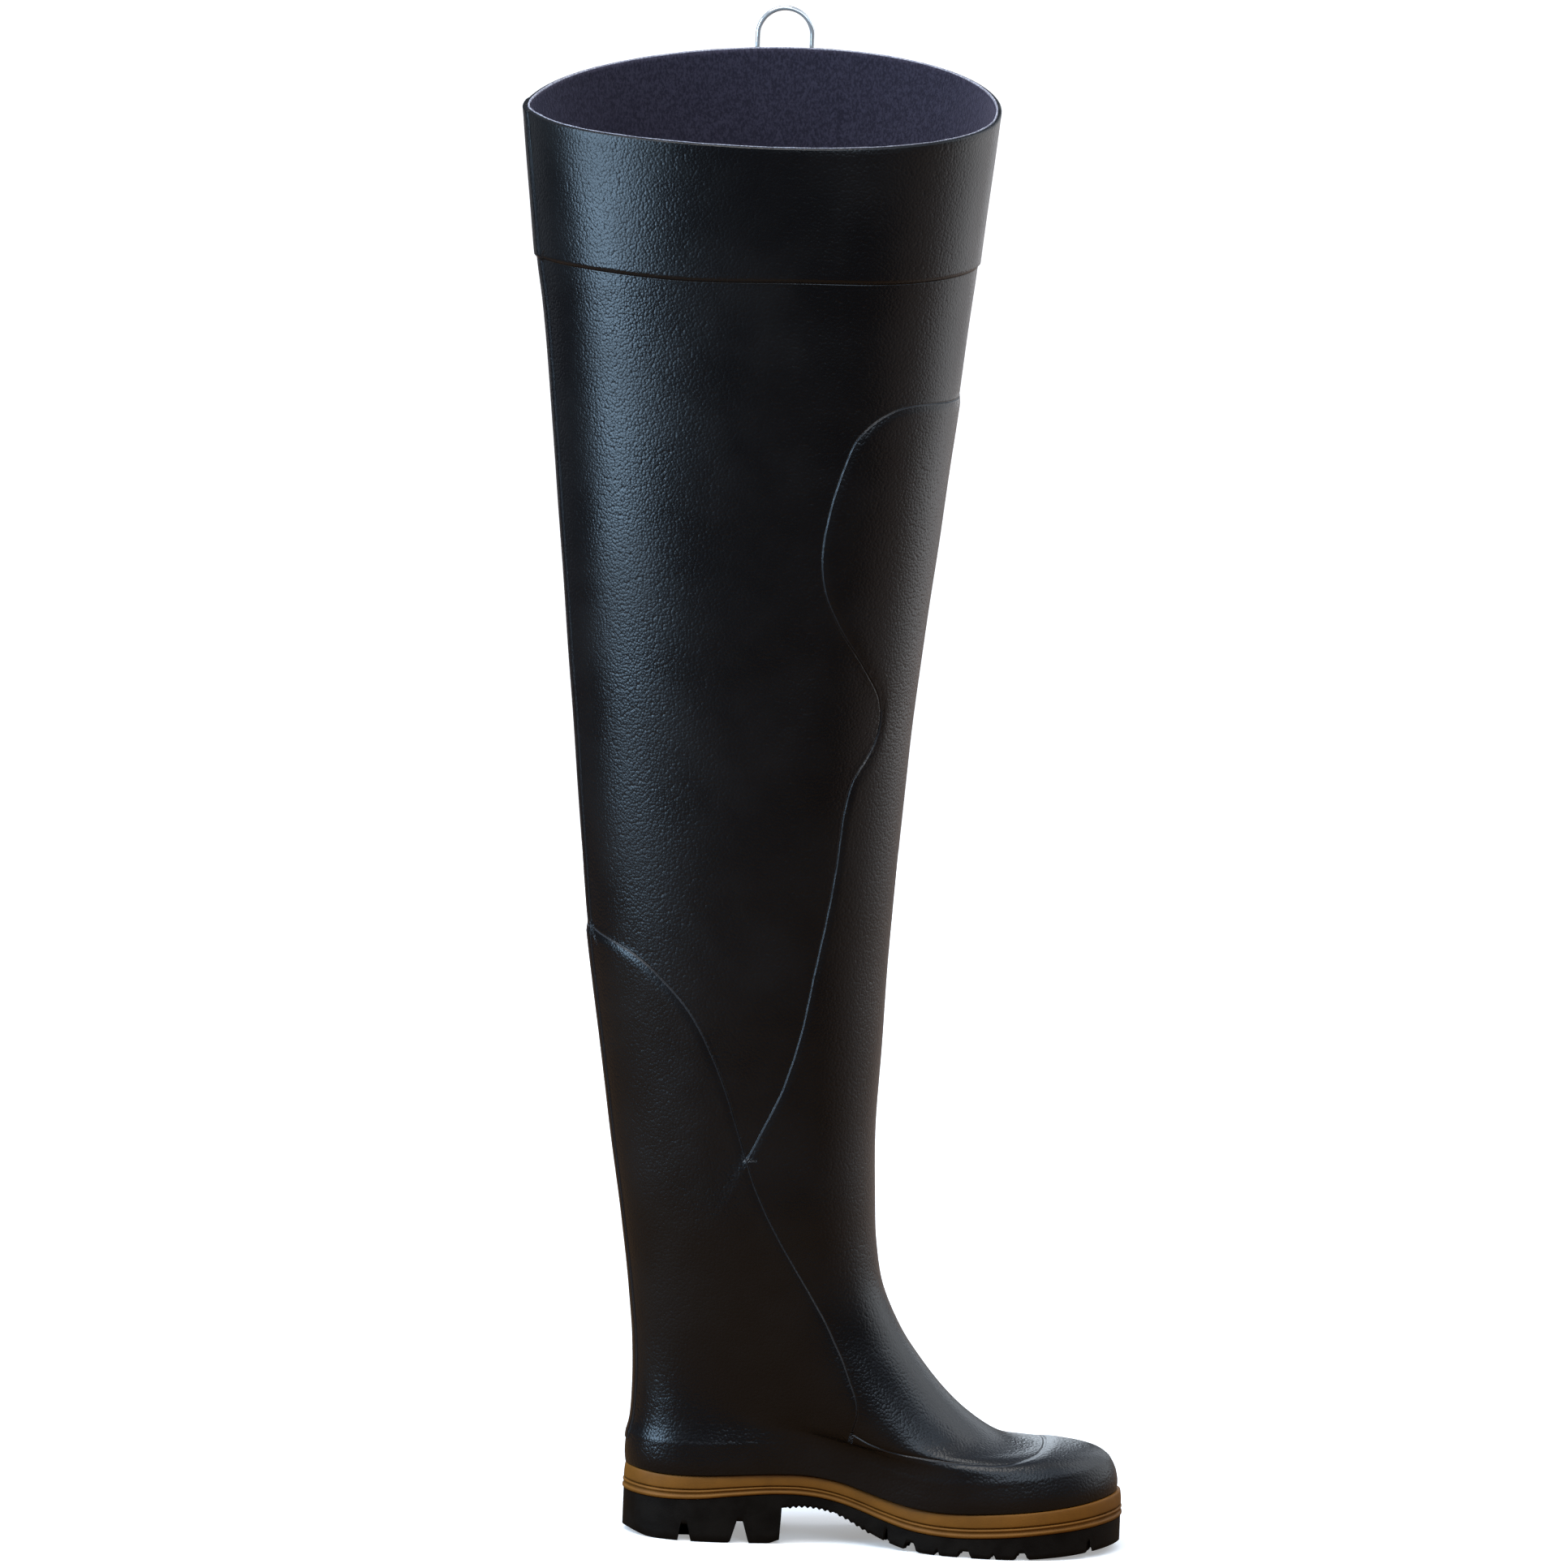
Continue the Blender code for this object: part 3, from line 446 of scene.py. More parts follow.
def makeRubber():
    # bump height: less the pebbles, plus fine noise and slow unevenness; beside a layer's edge, where
    # edgeNear is 1, a rise over the edge with a groove before it; and a step for each of layersHere.
    # edgeDistance is in millimetres, negative outside the layer
    finish = {
        "colour": (0.0046, 0.0042, 0.0044),
        "worn": (0.0078, 0.0070, 0.0070),
        # painted highlight: the paler colour of the line along each layer's edge
        "edgeHighlightColour": (0.040, 0.041, 0.045),
        "pebbleScale": 620.0,
        "pebbleDepth": 0.00016,
        "fineScale": 1500.0,
        "fineDepth": 0.00003,
        "slowScale": 60.0,
        "slowDepth": 0.00003,
        "patchScale": 14.0,
        "stepHeight": 0.00120,
        "stepReach": (-0.1, 0.75),     # millimetres, from the edge into the layer
        "grooveDepth": 0.00022,
        "grooveMiddle": -0.35,
        "grooveReach": 0.55,
        "paintedEdgeHighlightMiddle": 0.4,           # painted highlight: a paler line along the layer's edge, in place of the edge's reflection
        "paintedEdgeHighlightReach": (0.1, 0.5),
        "roughness": (0.25, 0.33),
        "specular": 0.42,
    }
    material, tree, shader = newMaterial("wetRubberBlack")
    vector = objectVector(tree)
    patch = noise(tree, vector, finish["patchScale"], 4.0)
    edge, near, layers = (carried(tree, name) for name in ("edgeDistance", "edgeNear", "layersHere"))
    rise = ranged(tree, edge, *finish["stepReach"], 0.0, finish["stepHeight"])
    before = away(tree, edge, finish["grooveMiddle"])
    groove = ranged(tree, before, 0.0, finish["grooveReach"], -finish["grooveDepth"], 0.0)
    steps = total(tree, product(tree, total(tree, rise, groove), near),
                  product(tree, layers, finish["stepHeight"]))
    grain = pebbles(tree, vector, finish["pebbleScale"])
    fine = noise(tree, vector, finish["fineScale"], 2.0)
    slow = noise(tree, vector, finish["slowScale"])
    height = total(tree, product(tree, grain, -finish["pebbleDepth"]),
                   product(tree, fine, finish["fineDepth"]), product(tree, slow, finish["slowDepth"]), steps)
    # painted highlight: the base colour turns paler along each layer's edge, where the step would catch the
    # light
    paintedEdgeHighlight = ranged(tree, away(tree, edge, finish["paintedEdgeHighlightMiddle"]), *finish["paintedEdgeHighlightReach"], 1.0, 0.0)
    colour = mixed(tree, ranged(tree, patch, 0.35, 0.75), finish["colour"], finish["worn"])
    setInputs(tree, shader, {
        "Base Color": mixed(tree, product(tree, paintedEdgeHighlight, near), colour, finish["edgeHighlightColour"]),
        "Roughness": ranged(tree, patch, 0.3, 0.7, *finish["roughness"]),
        "Specular IOR Level": finish["specular"],
        "Normal": bumped(tree, height)})
    return material


def makeLiningCloth():
    # brushed cloth: a stretched nap with tufts, which give both its colour and its height
    finish = {"colour": (0.0200, 0.0170, 0.0280), "nap": (0.0460, 0.0400, 0.0610),
              "sheen": (0.55, 0.52, 0.72), "depth": 0.0009,
              "napScale": 760.0, "napStretch": (1.0, 1.0, 0.6), "tuftScale": 260.0}
    material, tree, shader = newMaterial("brushedLining")
    nap = noise(tree, objectVector(tree, finish["napStretch"]), finish["napScale"], 3.0, 0.7)
    tuft = noise(tree, objectVector(tree), finish["tuftScale"], 2.0, 0.5)
    both = total(tree, product(tree, nap, 0.8), product(tree, tuft, 0.2))
    setInputs(tree, shader, {
        "Base Color": mixed(tree, ranged(tree, both, 0.40, 0.62), finish["colour"], finish["nap"]),
        "Roughness": 0.95,
        "Specular IOR Level": 0.15,
        "Sheen Weight": 0.35,
        "Sheen Roughness": 0.5,
        "Sheen Tint": finish["sheen"],
        "Normal": bumped(tree, both, finish["depth"])})
    return material


def makePlain(name, finish, values):
    # noise mixes two colours and, with finer noise added where it is named, gives the height; the roughness
    # is one number, or a pair that the noise runs between; values are the shader's other inputs
    material, tree, shader = newMaterial(name)
    vector = objectVector(tree)
    patch = height = noise(tree, vector, finish["scale"], finish["detail"])
    if "fineScale" in finish:
        height = total(tree, noise(tree, vector, finish["fineScale"], 2.0), patch)
    amount = ranged(tree, patch, *finish["reach"])
    colour = mixed(tree, amount, *finish["colours"])
    if "groove" in finish:
        # painted shade: the darker groove colour wherever grooveShade is
        colour = mixed(tree, carried(tree, "grooveShade"), colour, finish["groove"])
    roughness = finish["roughness"]
    if isinstance(roughness, tuple):
        roughness = ranged(tree, patch, *finish["reach"], *roughness)
    setInputs(tree, shader, {"Base Color": colour, "Roughness": roughness,
                             "Normal": bumped(tree, height, finish["depth"]), **values})
    return material


# the cloth's cut edge is pale with fine specks; the tan gets painted shade in its ribbed groove floors,
# where grooveShade says so
plain = {
    "cutEdge": ({"colours": ((0.26, 0.25, 0.30), (0.58, 0.57, 0.64)), "reach": (0.4, 0.65),
                 "roughness": 0.8, "scale": 900.0, "detail": 3.0, "depth": 0.0003}, {}),
    "tanRubber": ({"colours": ((0.180, 0.072, 0.0100), (0.220, 0.088, 0.0120)), "reach": (0.3, 0.7),
                   "groove": (0.070, 0.027, 0.005), "roughness": 0.55,
                   "scale": 60.0, "detail": 4.0, "fineScale": 1200.0, "depth": 0.00008},
                  {"Specular IOR Level": 0.18}),
    "treadRubber": ({"colours": ((0.0042, 0.0031, 0.0022), (0.0080, 0.0060, 0.0042)), "reach": (0.3, 0.7),
                     "roughness": (0.5, 0.66),
                     "scale": 80.0, "detail": 4.0, "fineScale": 1400.0, "depth": 0.00012},
                    {"Specular IOR Level": 0.14}),
    "ringSteel": ({"colours": ((0.92, 0.92, 0.90), (0.92, 0.92, 0.90)), "reach": (0.3, 0.7),
                   "roughness": (0.10, 0.24),
                   "scale": 160.0, "detail": 3.0, "depth": 0.00004}, {"Metallic": 0.65}),
}
paleEdge, tan, treadRubber, steel = (makePlain(name, *values) for name, values in plain.items())
rubber = makeRubber()
liningCloth = makeLiningCloth()
print("materials made")


# leg and foot

skin = {
    "columns": 258,
    "edgeStart": 0.0003,      # a layer begins to rise this far before its edge
    "bevel": 0.0032,          # and is up this far behind it
    "cuffBevel": 0.0021,
    "stripBevel": 0.0014,
    "front": 0.0012,          # the layers stand this far off the wall
    "heel": 0.0013,
    "overlap": 0.0008,        # the heel layer where it lies over the front layer
    "buried": 0.00040,        # the front layer's edge as a ridge under the heel layer
    "buriedWidth": 0.0018,
    "buriedReach": 0.032,
    "cuff": 0.0014,
    "strip": 0.0009,
    "stripHalf": 0.0085,
    "stripFoot": 0.0143,      # over the band's top
    "cuffLine": 0.7590,
    "cuffTilt": 0.0060,
    "rand": 0.00032,          # soft ridge above the band
    "randHeight": 0.0200,
    "randWidth": 0.0038,
    "wall": 0.0010,           # rubber alone, to where the lining begins
    "wobble": 0.00010,
    "waver": 0.00022,
    "innerStep": 5,           # the inside keeps one row of points in five
}


def levelsFrom(parts):
    # a list of (from level, to level, count) made one run of levels
    return np.concatenate([np.linspace(a, b, n, endpoint=False) for a, b, n in parts] + [[parts[-1][1]]])


def columnTurns(count):
    # turns packed closer at the front panel's edge (share 0.76) and at the tape on the back (share 0)
    t = np.linspace(0.0, 2.0 * math.pi, 4001)
    share = 0.5 - 0.5 * np.cos(t)
    density = 1.0 + 0.7 * np.exp(-((share - 0.76) / 0.20) ** 2) + 1.6 * np.exp(-share / 0.006)
    sums = np.concatenate(([0.0], np.cumsum(0.5 * (density[1:] + density[:-1]))))
    half = np.interp(np.arange(count // 2) / (count // 2), sums / sums[len(t) // 2], t)
    return np.concatenate([half, [math.pi], 2.0 * math.pi - half[:0:-1]])


def panelDistances(x, z, wobble):
    # distance to the edges of the front, heel and toe layers in the side view, positive inside the layer,
    # with a hand-cut wobble; the distance to the front layer's edge under the heel layer; the place where
    # the two edges cross; and the x where the toe layer's edge begins
    low, far = -0.1, 0.5     # past the boot on all sides
    front, buried, heel = (smoothLine(edgeLine(table), 6) for table in (frontEdge, buriedEdge, heelEdge))
    toe = np.stack([alongSole(toeEdge[:, 0]), toeEdge[:, 1] * boot["seatHeight"]], axis=1)
    toe = smoothLine(np.concatenate([edgeLine(heelEdge)[-1:], toe]), 6)
    under = np.concatenate([buried, [[buried[-1][0], low]]])

    def signAndDistance(line, closing):
        inside = insideOutline(x, z, np.concatenate([line, closing]))
        return np.where(inside, 1.0, -1.0), lineDistance(x, z, line)

    closing = np.concatenate([under[1:], [[far, low], [far, front[0][1]]]])
    frontSign, toFront = signAndDistance(front, closing)
    heelSign, toHeel = signAndDistance(heel, [[heel[-1][0], low], [-far, low], [-far, heel[0][1]]])
    toeSign, toToe = signAndDistance(toe, [[far, toe[-1][1]], [far, low], [toe[0][0], low]])
    dBuried = frontSign * np.minimum(lineDistance(x, z, under), toFront)
    return (frontSign * toFront + wobble, heelSign * toHeel + wobble, toeSign * toToe + wobble,
            dBuried, buried[0], toe[0][0])


def layerRelief(grid):
    # how far the surface stands off the wall: each layer rises over the bevel's width from its edge
    x, z = grid[..., 0], grid[..., 2]
    wobble = skin["wobble"] * (np.sin(x * 190.0 + z * 60.0) + 0.6 * np.sin(z * 330.0 + 1.3)
                               + 0.5 * np.sin(x * 520.0 + 0.7))
    dFront, dHeel, dToe, dBuried, crossing, toeBack = panelDistances(x, z, wobble)
    start, bevel = skin["edgeStart"], skin["bevel"]
    frontTop = skin["front"] * smoothStep(dFront, -start, bevel)
    # under the heel layer the front layer's edge shows only as a soft rise that fades to the back
    fromCrossing = np.hypot(x - crossing[0], z - crossing[1])
    soft = smoothStep(dBuried / (0.004 + 0.30 * fromCrossing), -1.0, 1.0)
    belowIt = np.exp(-(fromCrossing / skin["buriedReach"]) ** 2) * (z < crossing[1] + 0.001)
    ridge = skin["buried"] * belowIt * np.exp(-(dBuried / skin["buriedWidth"]) ** 2)
    heelTop = skin["heel"] + skin["overlap"] * soft + ridge
    toeTop = skin["heel"] + skin["overlap"]
    inHeel = smoothStep(dHeel, -start, bevel)
    inToe = np.where((x > toeBack) | (dHeel < 0), smoothStep(dToe, -start, bevel), 0.0)
    relief = frontTop * (1 - inHeel) + heelTop * inHeel
    relief = relief * (1 - inToe) + toeTop * inToe

    # cuff, and the tape over the back seam, by the way round from the back's middle
    share = (x - x.min(axis=1, keepdims=True)) / np.ptp(x, axis=1)[:, None]
    line = skin["cuffLine"] + skin["cuffTilt"] * (share - 0.35) + 0.0008 * np.sin(x * 45.0 + 0.5)
    dCuff = z - line
    relief = relief + skin["cuff"] * smoothStep(dCuff, -start, skin["cuffBevel"])
    step = np.linalg.norm(np.roll(grid, -1, axis=1) - grid, axis=2)
    along = np.concatenate([np.zeros((len(step), 1)), np.cumsum(step, axis=1)[:, :-1]], axis=1)
    around = np.minimum(along, step.sum(axis=1)[:, None] - along)
    dStrip = skin["stripHalf"] - around + 0.4 * wobble
    stripFoot = soleLine(1, np.full(z.shape, -0.045)) + skin["stripFoot"]
    dStrip = np.minimum(dStrip, z - stripFoot)
    relief = relief + skin["strip"] * smoothStep(dStrip, -0.0002, skin["stripBevel"])

    # soft ridge of the rand, with a slight step under it, strongest at the heel and the forefoot
    over = z - soleLine(1, x) - skin["randHeight"]
    strength = 1.0 - 0.85 * np.exp(-((x - 0.060) / 0.035) ** 2)
    ridge = 0.6 * np.exp(-(over / skin["randWidth"]) ** 2) + 0.8 * smoothStep(-over, -0.0008, 0.0010)
    relief = relief + skin["rand"] * strength * ridge

    # what the rubber's bump reads. A layer's edge isn't seen where another layer lies over it
    inHeelRegion = dHeel > 0.0015
    dFrontSeen = np.where(inHeelRegion, 1.0, dFront)
    dToeSeen = np.where(x > toeBack - 0.001, dToe, 1.0)
    covered = smoothStep(dBuried / (0.006 + 0.6 * fromCrossing), -1.0, 1.0)
    layers = np.stack([np.where(inHeelRegion, covered, dFront > 0), dHeel > 0,
                       (dToeSeen > 0) & (dToeSeen < 0.9), dCuff > 0, dStrip > 0]).astype(float)
    layers[:2] = np.where(layers[2] > 0, 0.5, layers[:2])
    return relief, edgeFields(np.stack([dFrontSeen, dHeel, dToeSeen, dCuff, dStrip]) * 1000.0, layers)


def edgeFields(distances, layers):
    # the nearest edge's distance in millimetres; 1 beside an edge and 0 far from all or halfway between two
    # that face each other; and the number of layers, less the nearest edge's own beside it
    order = np.abs(distances).argsort(axis=0)
    nearest = np.take_along_axis(distances, order[:1], axis=0)[0]
    second = np.take_along_axis(distances, order[1:2], axis=0)[0]
    facing = (nearest > 0) != (second > 0)
    near = 1.0 - smoothStep(np.abs(nearest), 4.0, 6.5)
    near = near * np.where(facing, smoothStep(np.abs(second) - np.abs(nearest), 0.2, 2.0), 1.0)
    own = np.take_along_axis(layers, order[:1], axis=0)[0]
    return {"edgeDistance": nearest, "edgeNear": near, "layersHere": layers.sum(axis=0) - near * own}


def levelled(normals):
    # the level part of each normal, at unit length
    return unit(normals * (1.0, 1.0, 0.0))


def unevenness(grid, turn, amount):
    # slow sines in two directions, so that long reflections waver
    z = grid[..., 2]
    return amount * (np.sin(3 * turn + z * 31.0) * 0.5 + np.sin(5 * turn - z * 47.0 + 1.0) * 0.35
                     + np.sin(2 * turn + z * 83.0 + 2.0) * 0.3 + np.sin(9 * turn + z * 19.0) * 0.2)


def makeLeg():
    # the outer surface lifted by its layers, over the rim and down the wall's inner face, closed below
    levels = levelsFrom(((0.0, 1.0, 6), (1.0, 7.0, 44), (7.0, 10.0, 34), (10.0, 13.0, 38), (13.0, 16.0, 48),
                         (16.0, 17.5, 36), (17.5, 21.0, 34), (21.0, 22.6, 34), (22.6, 23.85, 10),
                         (23.85, 24.25, 15), (24.25, 26.0, 14)))
    turn = columnTurns(skin["columns"])
    base = upperPoints(levels, turn)
    normal = gridNormals(base)
    relief, fields = layerRelief(base)
    aboveBand = smoothStep(base[..., 2], 0.045, 0.09)
    lift = relief + unevenness(base, turn, skin["waver"]) * aboveBand
    outer = base + normal * lift[..., None]
    outer[0, :, 2] = soleLine(1, outer[0, :, 0]) + 1.5 * boot["gap"]
    # the rim: the wall rounds over from its outer face to its inner face
    rim, flat = base[-1], levelled(normal[-1])
    outer[-1] = rim + flat * lift[-1][:, None]
    outer[-1, :, 2] = rim[:, 2] - 0.0011
    lip = []
    for reach, drop in ((0.97, 0.0007), (0.80, 0.0003), (0.5, 0.0), (0.15, 0.0)):
        row = rim + flat * (reach * lift[-1] - (1 - reach) * skin["wall"])[:, None]
        row[:, 2] = rim[:, 2] - drop
        lip.append(row)
    kept = [*range(len(base) - 1, 0, -skin["innerStep"]), 0]
    inner = base[kept] - normal[kept] * skin["wall"]
    inner[0] = rim - flat * skin["wall"]
    inner[0, :, 2] = rim[:, 2] - 0.0004
    inner[-1, :, 2] = outer[0, :, 2]
    rings = np.concatenate([outer, lip, inner])
    faces = gridFaces(*rings.shape[:2], joined=True)
    leg = newMesh("rubberLeg", rings, faces, rubber)
    # over the rim and inside, the top row's values go on
    for name, values in fields.items():
        beyond = np.repeat(values[-1:], len(rings) - len(values), axis=0)
        addAttribute(leg, name, np.concatenate([values, beyond]))
    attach(leg, "boot")
    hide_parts("upper", "front_panel", "heel_panel", "toe_cap", "cuff", "back_strip", "heel_strip")
    print("leg made:", len(faces) * 2, "triangles")


def makeLining():
    # the cloth's inner face with slow ripples, over its top and down its outer face, by the rubber
    lining = {"columns": 156, "outer": 0.00105, "inner": 0.0027, "below": 0.0002, "loose": 0.0005,
              "ripple": 0.00035, "topDrop": 0.0004, "lastDrop": 0.0012}
    levels = levelsFrom(((0.0, 13.0, 65), (13.0, 22.0, 45), (22.0, 25.6, 36), (25.6, 26.0, 8)))
    turn = turns(lining["columns"])
    base = upperPoints(levels, turn)
    normal = gridNormals(base)
    flat = levelled(normal[-1])
    normal[-1] = flat
    height = base[..., 2]
    ripple = lining["ripple"] * (np.sin(7 * turn + height * 60.0) + np.sin(11 * turn - height * 37.0))
    ripple *= smoothStep(boot["collarHeight"] - height, 0.0, 0.03)
    inside = base - normal * (lining["inner"] + ripple[..., None])
    outside = base - normal * (lining["outer"] + lining["loose"])
    for face in (inside, outside):
        face[0, :, 2] = soleLine(1, face[0, :, 0]) + 1.5 * boot["gap"]
    rimHeight = height[-1] - lining["below"]
    inside[-1, :, 2] = rimHeight
    top = base[-1] - flat * (lining["inner"] - lining["loose"])
    top[:, 2] = rimHeight - lining["topDrop"]
    last = base[-1] - flat * lining["outer"]
    last[:, 2] = rimHeight - lining["lastDrop"]
    outside = np.concatenate([outside[outside[:, 0, 2] < height[-1, 0] - 0.004], last[None]])
    rings = np.concatenate([inside, top[None], outside[::-1]])
    cloth = newMesh("lining", rings, gridFaces(*rings.shape[:2], flip=True, joined=True), liningCloth)
    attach(cloth, "boot")


def makeLiningEdge():
    # the lining's pale cut edge: a flat-topped bead round the rim, its width and height wavering a little
    edge = {"columns": 720, "waver": 0.00006, "inner": -0.0015}
    turn = turns(edge["columns"])
    near = upperPoints(np.array([25.9, 26.0]), turn)
    rim, flat = near[1], levelled(gridNormals(near)[1])
    waver = edge["waver"] * (np.sin(23 * turn) + np.sin(41 * turn + 1.0) + 0.7 * np.sin(97 * turn))
    # reach outwards, height over the rim
    profile = ((-0.00085, -0.0022), (-0.00085, -0.0001), (-0.0010, 0.0003), (-0.0017, 0.00025),
               (-0.0020, -0.0001), (-0.0020, -0.0022))
    rings = []
    for reach, height in profile:
        row = rim + flat * (reach - (reach < edge["inner"]) * waver)[:, None]
        row[:, 2] = rim[:, 2] + height + 0.8 * (height > 0) * waver
        rings.append(row)
    bead = newMesh("liningEdge", rings, gridFaces(len(rings), edge["columns"], joined=True), paleEdge, 50)
    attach(bead, "boot")
    print("lining made")


# band

def halfWidths(share):
    # the outline's inner and outer half width at a share of the sole's length
    return (boot["ballMedial"] * oval(share) * footShape(share, 1),
            boot["ballLateral"] * oval(share) * footShape(share, 2))


def evenRing(count):
    # the sole's outline from above at even steps of its length, from the heel round the inner side; with
    # the direction ahead and the length so far
    share = 0.5 - 0.5 * np.cos(np.linspace(0.0, math.pi, 2001))
    medial, lateral = halfWidths(share)
    x = np.concatenate([alongSole(share), alongSole(share[-2:0:-1])])
    y = np.concatenate([-medial, lateral[-2:0:-1]])
    step = np.hypot(np.roll(x, -1) - x, np.roll(y, -1) - y)
    along = np.concatenate(([0.0], np.cumsum(step)))
    at = np.arange(count) / count * along[-1]
    xs = np.interp(at, along, np.append(x, x[0]))
    ys = np.interp(at, along, np.append(y, y[0]))
    return xs, ys, unit(nextLessLast(np.stack([xs, ys], axis=1))), at


def makeBand():
    # a profile carried round the outline; the groove's floor is cut into short ribs
    band = {"step": 0.0016, "columns": 1500, "ribPitch": 0.00095, "ribDepth": 0.00022}
    # height between the band's foot (0) and top (1), inset in steps, share of the ribs' depth
    profile = ((1.000, 2.60, 0), (1.000, 1.30, 0), (0.992, 1.05, 0), (0.970, 0.90, 0), (0.900, 0.74, 0),
               (0.760, 0.58, 0), (0.620, 0.46, 0), (0.500, 0.40, 0), (0.455, 0.42, 0), (0.440, 0.55, 1),
               (0.425, 0.86, 1), (0.395, 0.88, 1), (0.380, 0.50, 1), (0.365, 0.26, 0), (0.335, 0.14, 0),
               (0.300, 0.18, 0), (0.280, 0.42, 0.6), (0.255, 0.52, 0.6), (0.190, 0.50, 0.6),
               (0.165, 0.34, 0.4), (0.145, 0.10, 0), (0.105, 0.00, 0), (0.055, 0.04, 0),
               (0.020, 0.22, 0), (0.000, 0.55, 0), (0.000, 2.60, 0))
    x, y, ahead, at = evenRing(band["columns"])
    ribs = np.cos(at / band["ribPitch"] * 2.0 * math.pi)
    rings, shade = [], []
    for height, inset, ribbed in profile:
        offset = -inset * band["step"] + ribbed * band["ribDepth"] * ribs
        px = x + offset * ahead[:, 1]
        py = y - offset * ahead[:, 0]
        top, foot = soleLine(1, px), soleLine(2, px)
        rings.append(np.stack([px, py, foot + height * (top - foot)], axis=1))
        # grooveShade: painted shade in the ribbed groove floors, stronger where the profile is set further
        # in
        shade.append(np.full(len(x), (0.55 if inset > 0.5 else 0.15) * ribbed))
    faces = gridFaces(len(rings), len(x), flip=True, capped=True)
    obj = newMesh("tanBand", rings, faces, tan, 60)
    addAttribute(obj, "grooveShade", shade)
    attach(obj, "boot")
    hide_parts("midsole")
    print("band made:", len(faces) * 2, "triangles")


# lugged sole

tread = {
    "inset": 0.0006,
    "heelFront": 0.0430,
    "edge": 0.0016,           # rounding of the lower edge
    "across": 57,
    "stations": 230,
    # place, width at the floor, width at the top, depth
    "cuts": ((0.2376, 0.0111, 0.0036, 0.0130), (0.5296, 0.0028, 0.0018, 0.0075),
             (0.5783, 0.0072, 0.0042, 0.0050), (0.6318, 0.0027, 0.0018, 0.0027),
             (0.6863, 0.0077, 0.0047, 0.0038), (0.7431, 0.0027, 0.0018, 0.0026),
             (0.7997, 0.0075, 0.0045, 0.0040), (0.9337, 0.0032, 0.0020, 0.0066)),
    "cutBow": 0.006,
    "blind": (0.1272, 0.0073, 0.0042, 0.0100),
    "blindReach": (0.0146, 0.0206),
    "ribs": ((0.326, 0.425), (0.425, 0.505)),
    "ribPitch": 0.0034,
    "ribDepth": 0.0011,
    "centreWidth": 0.0042,
    "centreDepth": 0.0026,
    "breastRound": 0.0022,
    "backLift": 0.0035,
}


def window(x, low, high, ramp):
    # 1 between low and high, falling smoothly to 0 at both over the ramp
    return smoothStep(x, low, low + ramp) * smoothStep(-x, -high, -high + ramp)


def cutDepth(x, place, footWidth, topWidth, depth):
    # a straight-sided cut: full depth within its top width, falling to nothing at its floor width
    beside = np.abs(x - alongSole(place))
    return depth * np.clip((0.5 * footWidth - beside) / (0.5 * (footWidth - topWidth)), 0.0, 1.0)


def treadStations():
    # x of all rows across the sole: closer to the ends, and one on each corner of a cut, rib or step
    breast, near = tread["heelFront"], 0.0001
    xs = [alongSole(0.5 - 0.5 * np.cos(np.linspace(0.0, math.pi, tread["stations"])))]
    for place, footWidth, topWidth, _ in (*tread["cuts"], tread["blind"]):
        middle = alongSole(place)
        for half in (0.5 * footWidth, 0.5 * topWidth):
            xs.append([middle - half - near, middle - half, middle + half, middle + half + near])
    xs.append([breast - 0.0009, breast - 0.0003, breast, breast + 0.0003, breast + 0.0012])
    for first, last in tread["ribs"]:
        xs.append(np.arange(alongSole(first), alongSole(last), tread["ribPitch"] / 8))
    xs = np.unique(np.round(np.concatenate(xs), 6))
    return xs[np.concatenate(([True], np.diff(xs) > 5e-5))]


def treadDepth(x, y, v):
    # how far the tread is cut up from its underside: the deepest of the cross cuts, the blind notch at both
    # sides of the heel and the groove along the middle, less the small ribs where nothing is cut. v is -1
    # on the inner side and 1 on the outer; the forefoot's cuts bow towards the toe in the middle
    depth = np.zeros(y.shape)
    for place, *cut in tread["cuts"]:
        bow = tread["cutBow"] * (1.0 - v ** 2) if place > 0.5 else 0.0
        depth = np.maximum(depth, cutDepth(x - bow, place, *cut))
    depth = np.maximum(depth, cutDepth(x, *tread["blind"]) * smoothStep(np.abs(y), *tread["blindReach"]))
    inForefoot = smoothStep(x, alongSole(0.56), alongSole(0.575))
    inForefoot = inForefoot * smoothStep(-x, -alongSole(0.95), -alongSole(0.93))
    inHeel = window(x, -0.036, 0.034, 0.002)
    half = 0.5 * tread["centreWidth"]
    centre = tread["centreDepth"] * smoothStep(-np.abs(y), -half - 0.0008, -half)
    depth = np.maximum(depth, centre * np.maximum(inForefoot, inHeel))
    ribs = np.zeros(y.shape)
    for first, last in tread["ribs"]:
        a, b = alongSole(first), alongSole(last)
        wave = 0.5 + 0.5 * np.cos((x - a) / tread["ribPitch"] * 2.0 * math.pi)
        ribs = np.maximum(ribs, tread["ribDepth"] * window(x, a, b, 0.002) * wave)
    return depth - ribs * (depth < 1e-5)


